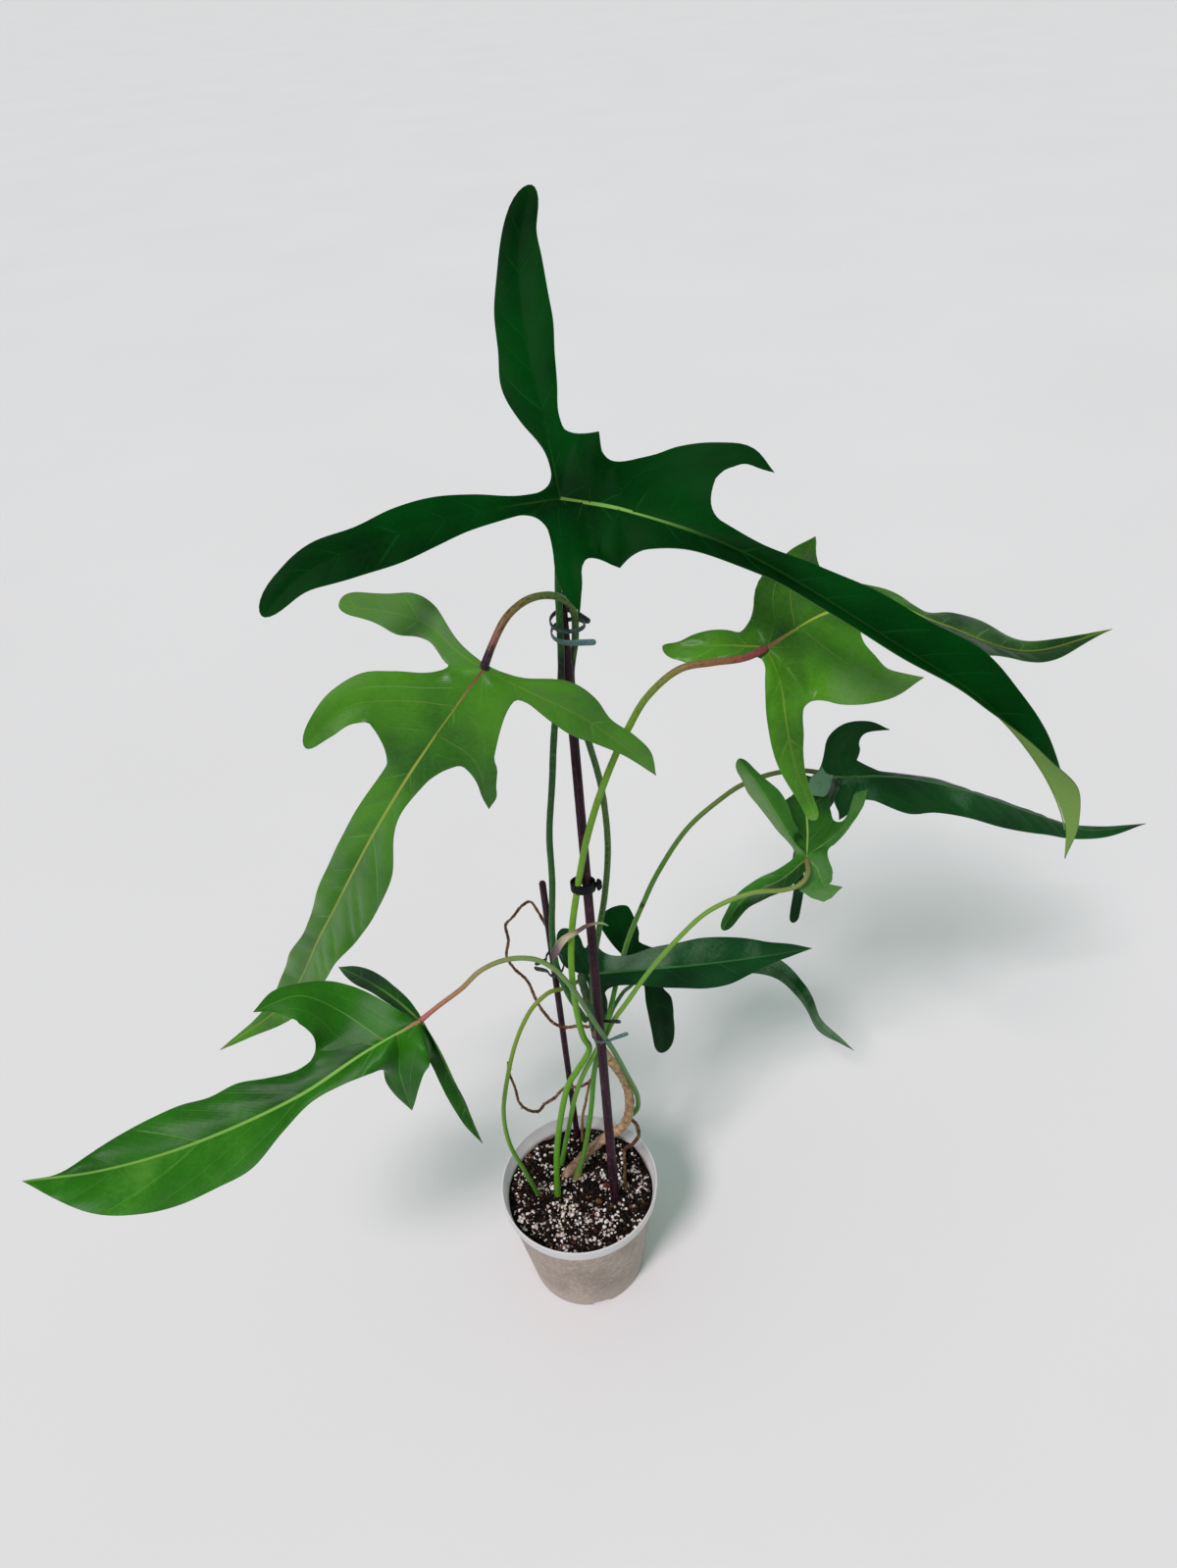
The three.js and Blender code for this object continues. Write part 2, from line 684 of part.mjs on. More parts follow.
// A blade's surface as spokes from its ribs to its edge, measured from the point where the stalk meets it.
class Blade {
  constructor({ faces, lobes }) {
    this.lobes = lobes;
    const [main, ...others] = lobes;
    const facing = vector(faces).normalize();
    const midrib = new Rib([new THREE.Vector3(), ...main.rib.map(vector)], facing, main.twist);
    this.root = midrib.frame(0);
    this.ribs = [midrib];
    for (const { from = 0, rib, faces: own, twist } of others) {
      const start = midrib.frame(from);
      const up = own ? vector(own).normalize() : start.up;
      this.ribs.push(new Rib([start.point, ...rib.map(vector)], up, twist));
    }
    this.breaks = [...new Set([...others.map(({ from = 0 }) => from), 0, 1])].sort((a, b) => a - b);
  }

  // The bottom of the cut between lobe i and the next one to its left.
  notch(i) {
    const [degrees, distance] = this.lobes[(i + this.lobes.length) % this.lobes.length].notch;
    const turn = THREE.MathUtils.degToRad(degrees);
    return new THREE.Vector3()
      .addScaledVector(this.root.along, distance * Math.cos(turn))
      .addScaledVector(this.root.left, distance * Math.sin(turn));
  }

  // The shares of a rib where spokes start, even between the places where other ribs leave it.
  stations(i) {
    const breaks = i ? [0, 1] : this.breaks;
    const found = [0];
    breaks.slice(1).forEach((end, k) => {
      const start = breaks[k];
      const pieces = Math.max(1, Math.round(((end - start) * this.ribs[i].length) / BLADE.step));
      for (let p = 1; p <= pieces; p += 1) found.push(p < pieces ? mix(start, end, p / pieces) : end);
    });
    const { blunt } = this.lobes[i];
    if (blunt) found.splice(-1, 0, 1 - (0.35 * blunt) / this.ribs[i].length);
    return found;
  }

  // Where a rib's half blade begins: at its own foot, or on the midrib where the neighbouring rib leaves.
  start(i, side) {
    const neighbour = this.lobes[side > 0 ? 1 : this.lobes.length - 1];
    return i ? 0 : (neighbour.from ?? 0);
  }

  // How much of its width a lobe keeps where its tip is rounded off.
  rounding(i, share) {
    const { blunt } = this.lobes[i];
    const left = blunt ? Math.min(((1 - share) * this.ribs[i].length) / blunt, 1) : 1;
    return Math.sqrt(1 - (1 - left) ** 2);
  }

  // How the edge runs beside rib i, as stations with the edge's place in the rib's frame. Up to the first
  // station, where the notch is square to the rib, the edge is the notch itself.
  edge(i, side) {
    const lobe = this.lobes[i];
    const notch = this.notch(side > 0 ? i : i - 1);
    const rib = this.ribs[i];
    let first = this.start(i, side);
    while (notch.clone().sub(rib.frame(first).point).dot(rib.frame(first).along) > 0) first += 0.005;
    const { point, along, left, up } = rib.frame(first);
    const reach = notch.clone().sub(point);
    const widths = side > 0 ? lobe.left : lobe.right;
    const lift = (side > 0 ? lobe.liftLeft : lobe.liftRight) ?? [BLADE.lift];
    const run = {
      notch,
      stations: [first],
      ahead: [reach.dot(along)],
      out: [reach.dot(left) * side],
      rise: [reach.dot(up)],
    };
    widths.forEach((width, k) => {
      const share = (k + 1) / (widths.length + 1);
      const raised = THREE.MathUtils.degToRad(evenly(lift, share));
      run.stations.push(mix(first, 1, share));
      run.ahead.push(0);
      run.out.push(width * Math.cos(raised));
      run.rise.push(width * Math.sin(raised));
    });
    run.stations.push(1);
    run.ahead.push(0);
    for (const list of [run.out, run.rise]) list.push(lobe.blunt ? list.at(-1) * 0.9 : 0);
    return run;
  }

  // One spoke: points from the rib out to the edge, with the blade arched up a little between them.
  spoke(i, side, share, run) {
    const { point, along, left, up } = this.ribs[i].frame(share);
    const inNotch = share <= run.stations[0];
    const end = run.notch.clone();
    if (!inNotch) {
      end.copy(point);
      end.addScaledVector(along, smoothly(run.stations, run.ahead, share));
      const kept = this.rounding(i, share);
      end.addScaledVector(left, kept * side * smoothly(run.stations, run.out, share));
      end.addScaledVector(up, kept * smoothly(run.stations, run.rise, share));
    }
    if (share === 1) end.copy(point);
    const arch = BLADE.arch * point.distanceTo(end);
    return Array.from({ length: BLADE.rows + 1 }, (_, k) => {
      const out = k / BLADE.rows;
      const raised = arch * Math.sin(Math.PI * out);
      return mixed(point, end, out).addScaledVector(inNotch ? this.root.up : up, raised);
    });
  }

  // All spokes from the tip of lobe i, down its left side and up the right side of the next lobe.
  fan(i) {
    const next = (i + 1) % this.lobes.length;
    const down = this.edge(i, 1);
    const up = this.edge(next, -1);
    const [from, to] = [this.start(i, 1), this.start(next, -1)];
    const spokes = this.stations(i)
      .filter((share) => share >= from)
      .reverse()
      .map((share) => this.spoke(i, 1, share, down));
    if (i && next) spokes.push(...this.between(this.lobes[i].from ?? 0, this.lobes[next].from ?? 0, down));
    const rising = this.stations(next).filter((share) => share >= to);
    spokes.push(...rising.map((share) => this.spoke(next, -1, share, up)));
    return spokes;
  }

  // Spokes from the midrib to a notch, between the feet of two ribs on one side of it.
  between(from, to, run) {
    const [low, high] = [Math.min(from, to), Math.max(from, to)];
    const shares = this.stations(0).filter((share) => share > low && share < high);
    if (from > to) shares.reverse();
    return shares.map((share) => this.spoke(0, 1, share, { ...run, stations: [1] }));
  }

  // The middle surface as shared points and triangles.
  surface() {
    const points = [];
    const places = new Map();
    const triangles = [];
    const indexOf = (point) => {
      const key = point.toArray().map((value) => Math.round(value * 100)).join();
      if (!places.has(key)) {
        places.set(key, points.length);
        points.push(point);
      }
      return places.get(key);
    };
    this.lobes.forEach((_, i) => {
      const spokes = this.fan(i).map((spoke) => spoke.map(indexOf));
      spokes.slice(1).forEach((spoke, s) => {
        const before = spokes[s];
        for (let k = 0; k < BLADE.rows; k += 1) {
          triangles.push([spoke[k], before[k], before[k + 1]], [spoke[k], before[k + 1], spoke[k + 1]]);
        }
      });
    });
    return { points, triangles: triangles.filter(([a, b, c]) => a !== b && b !== c && c !== a) };
  }
}

// A surface thickened evenly to both sides and closed along its edge.
function thickened({ points, triangles }, thickness) {
  const geometry = geometryOf(points, triangles);
  geometry.computeVertexNormals();
  const normals = geometry.getAttribute("normal");
  const normal = (i) => new THREE.Vector3().fromBufferAttribute(normals, i);
  const face = (reach) => points.map((point, i) => point.clone().addScaledVector(normal(i), reach));
  const below = points.length;
  const closed = [];
  const open = new Map();
  for (const [a, b, c] of triangles) {
    closed.push([a, b, c], [a + below, c + below, b + below]);
    for (const [from, to] of [[a, b], [b, c], [c, a]]) {
      if (!open.delete(`${to},${from}`)) open.set(`${from},${to}`, [from, to]);
    }
  }
  for (const [from, to] of open.values()) {
    closed.push([to, from, from + below], [to, from + below, to + below]);
  }
  return geometryOf([...face(thickness / 2), ...face(-thickness / 2)], closed);
}

// Pieces

function named(name, geometry, material) {
  const mesh = new THREE.Mesh(geometry, new THREE.MeshStandardMaterial(MATERIALS[material]));
  mesh.name = name;
  return mesh;
}

function bladeMesh(key, leaf) {
  const mesh = named(`blade_${key}`, thickened(new Blade(leaf).surface(), BLADE.thickness), leaf.material);
  mesh.position.set(...leaf.at);
  return mesh;
}

// A stalk's route from just under its blade, and sunk in the mix where it grows from it.
function stalkRoute(key) {
  const { at, faces } = LEAVES[key];
  const { radius, points, soil, top } = STALKS[key];
  const below = radius[0] + BLADE.thickness / 2 + SEAT;
  const end = top ? vector(top) : vector(faces).setLength(-below);
  return [end.add(vector(at)), ...sunk(points, soil)];
}

// A route run on past its last point by the depth that a foot has in the mix.
function sunk(points, soil) {
  const route = points.map(vector);
  if (soil) {
    const [before, last] = route.slice(-2);
    const onwards = last.clone().sub(before).normalize();
    route.push(last.clone().addScaledVector(onwards, SWEEP.sink));
  }
  return route;
}

const tapering = ([top, foot], extra = 0) => (share) => {
  const radius = mix(top, foot, share) + extra;
  return [radius, radius];
};

// A rod, and the plain hole that it stands in, a gap wider and deeper.
function rod({ radius, sides, step }, route) {
  return sweep(route, tapering(radius), { sides, step });
}

function hole({ radius, sides, step }, route) {
  const [before, last] = route.slice(-2);
  const deeper = last.clone().addScaledVector(last.clone().sub(before).normalize(), GAP);
  return solidOf(sweep([...route.slice(0, -1), deeper], tapering(radius, GAP), { sides, step }));
}

// The pot's outline from the middle of its floor out, up the outside, over the rim and down the inside.
function potOutline() {
  const { height, rimRadius, rimBand, rimStep, baseRadius, wall, floor } = POT;
  const underRim = height - rimBand;
  const shoulder = rimRadius - rimStep - 1;
  return [
    [0, 0],
    [baseRadius - 1, 0],
    [baseRadius, 1],
    [shoulder, underRim],
    [rimRadius - 0.8, underRim + 0.6],
    [rimRadius, height - 1.5],
    [rimRadius, height],
    [rimRadius - wall, height],
    [rimRadius - wall - 0.8, underRim + 1],
    [shoulder - wall, underRim - 1],
    [baseRadius - wall, floor],
    [0, floor],
  ];
}

const lathe = (outline, sides) => {
  const geometry = new THREE.LatheGeometry(outline.map(([x, y]) => new THREE.Vector2(x, y)), sides);
  return geometry.rotateX(Math.PI / 2);
};

// A turned shape as a solid: the seam and the points on the axis are joined by their places.
function turned(outline, sides) {
  const geometry = lathe(outline, sides);
  const source = geometry.getAttribute("position");
  const places = new Map();
  const points = [];
  const joined = Array.from({ length: source.count }, (_, i) => {
    const point = new THREE.Vector3().fromBufferAttribute(source, i);
    const key = point.toArray().map((value) => Math.round(value * 1000)).join();
    if (!places.has(key)) {
      places.set(key, points.length);
      points.push(point);
    }
    return places.get(key);
  });
  const triangles = [];
  for (let i = 0; i < geometry.index.count; i += 3) {
    const [a, b, c] = [0, 1, 2].map((k) => joined[geometry.index.getX(i + k)]);
    if (a !== b && b !== c && c !== a) triangles.push([a, b, c]);
  }
  return { points, triangles };
}

function pot() {
  const { points, triangles } = turned(potOutline(), POT.sides);
  let solid = solidOf(geometryOf(points, triangles));
  for (let i = 0; i < DRAIN.count; i += 1) {
    const slot = Manifold.cube([DRAIN.depth * 2, DRAIN.width, DRAIN.height * 2], true)
      .translate([POT.baseRadius, 0, 0])
      .rotate([0, 0, DRAIN.turn + (360 / DRAIN.count) * i]);
    solid = solid.subtract(slot);
  }
  return named("pot", shapeOf(solid), "frosted");
}

// How far the mix rises above its even level at a place.
function bump(x, y) {
  return SOIL.bump * (Math.sin(x / 5.3 + y / 9) * Math.cos(y / 6.1 - x / 14) + Math.sin(x / 11 - y / 7 + 2));
}

function soil(holes) {
  const { baseRadius, wall, floor, sides } = POT;
  const inside = (z) => {
    const shoulder = POT.rimRadius - POT.rimStep - 1;
    return mix(baseRadius, shoulder, (z - floor) / (POT.height - POT.rimBand - floor)) - wall - GAP * 1.5;
  };
  const bottom = floor + GAP;
  const topRadius = inside(SOIL.top - SOIL.bump * 2);
  const rings = Array.from({ length: SOIL.rings }, (_, k) => [topRadius * (1 - k / SOIL.rings), SOIL.top]);
  const outline = [[0, bottom], [inside(bottom), bottom], ...rings, [0, SOIL.top]];
  const { points, triangles } = turned(outline, sides);
  for (const point of points) {
    if (point.z > SOIL.top - 1) point.z += bump(point.x, point.y);
  }
  const solid = holes.reduce((rest, cut) => rest.subtract(cut), solidOf(geometryOf(points, triangles)));
  return named("soil", shapeOf(solid), "bark_mix");
}

function sheath() {
  const { points, width, wide, thickness } = SHEATH;
  const size = (share) => {
    const part = evenly(wide, share);
    return [(width / 2) * part, (thickness / 2) * Math.min(1, 2 * part)];
  };
  return named("sheath", sweep(points.map(vector), size, { step: 5, upright: true }), "sheath");
}

// A band wound about an upright axis, with a tail on from each end.
function tie(name, { centre: [x, y, z], half, turns, pitch, start, tails }) {
  const count = Math.round(turns * 16);
  const wound = Array.from({ length: count + 1 }, (_, k) => {
    const turn = THREE.MathUtils.degToRad(start + 18 + ((360 * turns - 36) * k) / count);
    const rise = pitch * turns * (k / count - 0.5);
    return new THREE.Vector3(x + half[0] * Math.cos(turn), y + half[1] * Math.sin(turn), z + rise);
  });
  const route = [vector(tails[0]), ...wound, vector(tails[1])];
  const size = (share) => [(BAND.width / 2) * evenly(BAND.wide, share), BAND.thickness / 2];
  return named(name, sweep(route, size, { sides: BAND.sides, step: BAND.step, upright: true }), "tie");
}

function springClip() {
  const { centre, half, turn, height, wall, grip, spread } = CLIP;
  const ring = (grow) => {
    const size = [half[0] + grow, half[1] + grow, 1 + grow * 0.2];
    return Manifold.cylinder(height, 1, 1, 20, true).scale(size);
  };
  let solid = ring(wall).subtract(ring(0).scale([1, 1, 2]));
  for (const tilt of [-spread, spread]) {
    const bar = Manifold.cube(grip, true)
      .translate([grip[0] / 2, 0, 0])
      .rotate([0, tilt, 0])
      .translate([half[0] + wall / 2, 0, 0]);
    solid = solid.add(bar);
  }
  const mesh = named("spring_clip", shapeOf(solid.rotate([0, 0, turn])), "clip");
  mesh.position.set(...centre);
  return mesh;
}

// The whole plant

function plant() {
  const leaves = new THREE.Group();
  const supports = new THREE.Group();
  const container = new THREE.Group();
  const holes = [];
  for (const [key, leaf] of Object.entries(LEAVES)) {
    const route = stalkRoute(key);
    leaves.add(bladeMesh(key, leaf), named(`stalk_${key}`, rod(STALKS[key], route), "stalk"));
    if (STALKS[key].soil) holes.push(hole(STALKS[key], route));
  }
  for (const [name, spec] of Object.entries(RODS)) {
    const route = sunk(spec.points, spec.soil);
    supports.add(named(name, rod(spec, route), spec.material));
    if (spec.soil || spec.material === "stake") holes.push(hole(spec, route));
  }
  for (const [name, spec] of Object.entries(TIES)) supports.add(tie(name, spec));
  supports.add(sheath(), springClip());
  container.add(pot(), soil(holes));
  return new THREE.Group().add(leaves, supports, container);
}

export default plant();
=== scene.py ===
"""A potted Philodendron longilobatum on a plain pale floor.

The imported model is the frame. The leaves, stalks, stem, roots, stakes, ties, clip, sheath, pot and mix
are built finer around it, along the same routes. Tables are in millimetres, the scene is in metres."""

import math
import random
from itertools import combinations

import bpy
import numpy as np
from mathutils import Matrix, Vector, noise
from mathutils.kdtree import KDTree


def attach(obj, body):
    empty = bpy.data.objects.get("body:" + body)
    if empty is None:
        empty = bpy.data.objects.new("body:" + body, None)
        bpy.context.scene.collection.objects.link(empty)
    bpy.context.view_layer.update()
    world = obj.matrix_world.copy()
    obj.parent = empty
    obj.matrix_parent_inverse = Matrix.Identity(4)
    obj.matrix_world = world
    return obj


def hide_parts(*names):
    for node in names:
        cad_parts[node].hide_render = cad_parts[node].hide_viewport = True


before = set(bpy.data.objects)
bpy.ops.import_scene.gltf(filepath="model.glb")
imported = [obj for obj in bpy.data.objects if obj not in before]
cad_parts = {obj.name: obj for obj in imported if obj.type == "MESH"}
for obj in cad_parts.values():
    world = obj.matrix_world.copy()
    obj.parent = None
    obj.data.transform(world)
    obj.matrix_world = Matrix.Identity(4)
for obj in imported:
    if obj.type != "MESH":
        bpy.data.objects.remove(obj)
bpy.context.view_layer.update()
MM = 0.001

# The camera: its place, how far it looks down, how far it leans, and its focal length on a 36 mm sensor.
CAMERA = dict(at=(34.9, -498.3, 880.9), pitch=38.14, roll=5.21, lens=26.0)

# The light: a broad one from the front left, and what comes from all round.
KEY = dict(towards=(0.42, 0.62, -1.0), angle=14, strength=2.3, tone=(1.0, 0.86, 0.95))
SKY = dict(tone=(0.82, 1.0, 0.96), strength=0.5)

# The floor, in metres: half its breadth, and how far it lies below the foot of the pot.
FLOOR = dict(half=30.0, sunk=0.0003)

# How finely pieces are meshed: steps in millimetres, rows from a rib to the edge, and a tube's sides.
LEAF_STEP = 2.6
LEAF_ROWS = 9
TUBE_STEP = 2.5
TUBE_SIDES = 14

# Leaf blades: half thickness at the rib and at the edge, the arch of each half, its default lift, the
# groove along a rib, how far from a cut and from a tip a blade lies flat, and the waves of its edge.
HALF_THICK = (0.32, 0.17)
ARCH = 0.07
LIFT = 8
GROOVE = dict(depth=0.3, reach=2.8)
FLAT_AT_CUT = 14
FLAT_AT_TIP = 16
WAVE_LENGTHS = (13, 7.3)

# Side veins: how they bend forward, how far those of the next lobe are shifted, how unevenly they lie,
# and the shape of the swellings between them.
VEINS = dict(bend=0.02, shift=0.37, uneven=0.22)
SWELLING = dict(power=0.7, level=0.45, start=0.08, near=0.5, far=6)

# The ridges under the ribs: the radius at the foot of the midrib and of the others, how deep those of the
# others lie, the share of a rib at which its ridge ends, and how much of its radius is lost at the tip.
RIDGES = dict(midrib=1.15, others=0.7, depth=0.7, end=0.93, loss=0.8)

# How deep a foot goes into the mix, and how far a stalk swells where it meets its blade.
SINK = 9
COLLAR = 0.25

# The 12 cm nursery pot and the mix in it.
POT = dict(height=104, rim=60, band=11, step=1.6, base=45, wall=1.2, floor=4.6, sides=144)
FOOT_NOTCHES = dict(count=4, width=14, height=3.4, depth=3.6, turn=10)
SOIL = dict(top=91, bump=1.3)


def lobe(rib, left, right, notch, start=0.0, faces=None, twist=(0,), lift_left=(LIFT,),
         lift_right=(LIFT,), blunt=0):
    """One lobe of a blade. Its rib leaves the midrib at the share start of its length and runs through
    points measured from the stalk. left and right are half widths at even steps out to the tip. notch is
    the cut between it and the next lobe to the left: degrees to the left of the midrib, and distance.
    The lifts raise a half towards the upper face and twist turns the blade about its rib, in degrees.
    blunt is the length over which a tip is rounded off."""
    return dict(rib=rib, left=left, right=right, notch=notch, start=start, faces=faces, twist=twist,
                lift=(lift_left, lift_right), blunt=blunt)


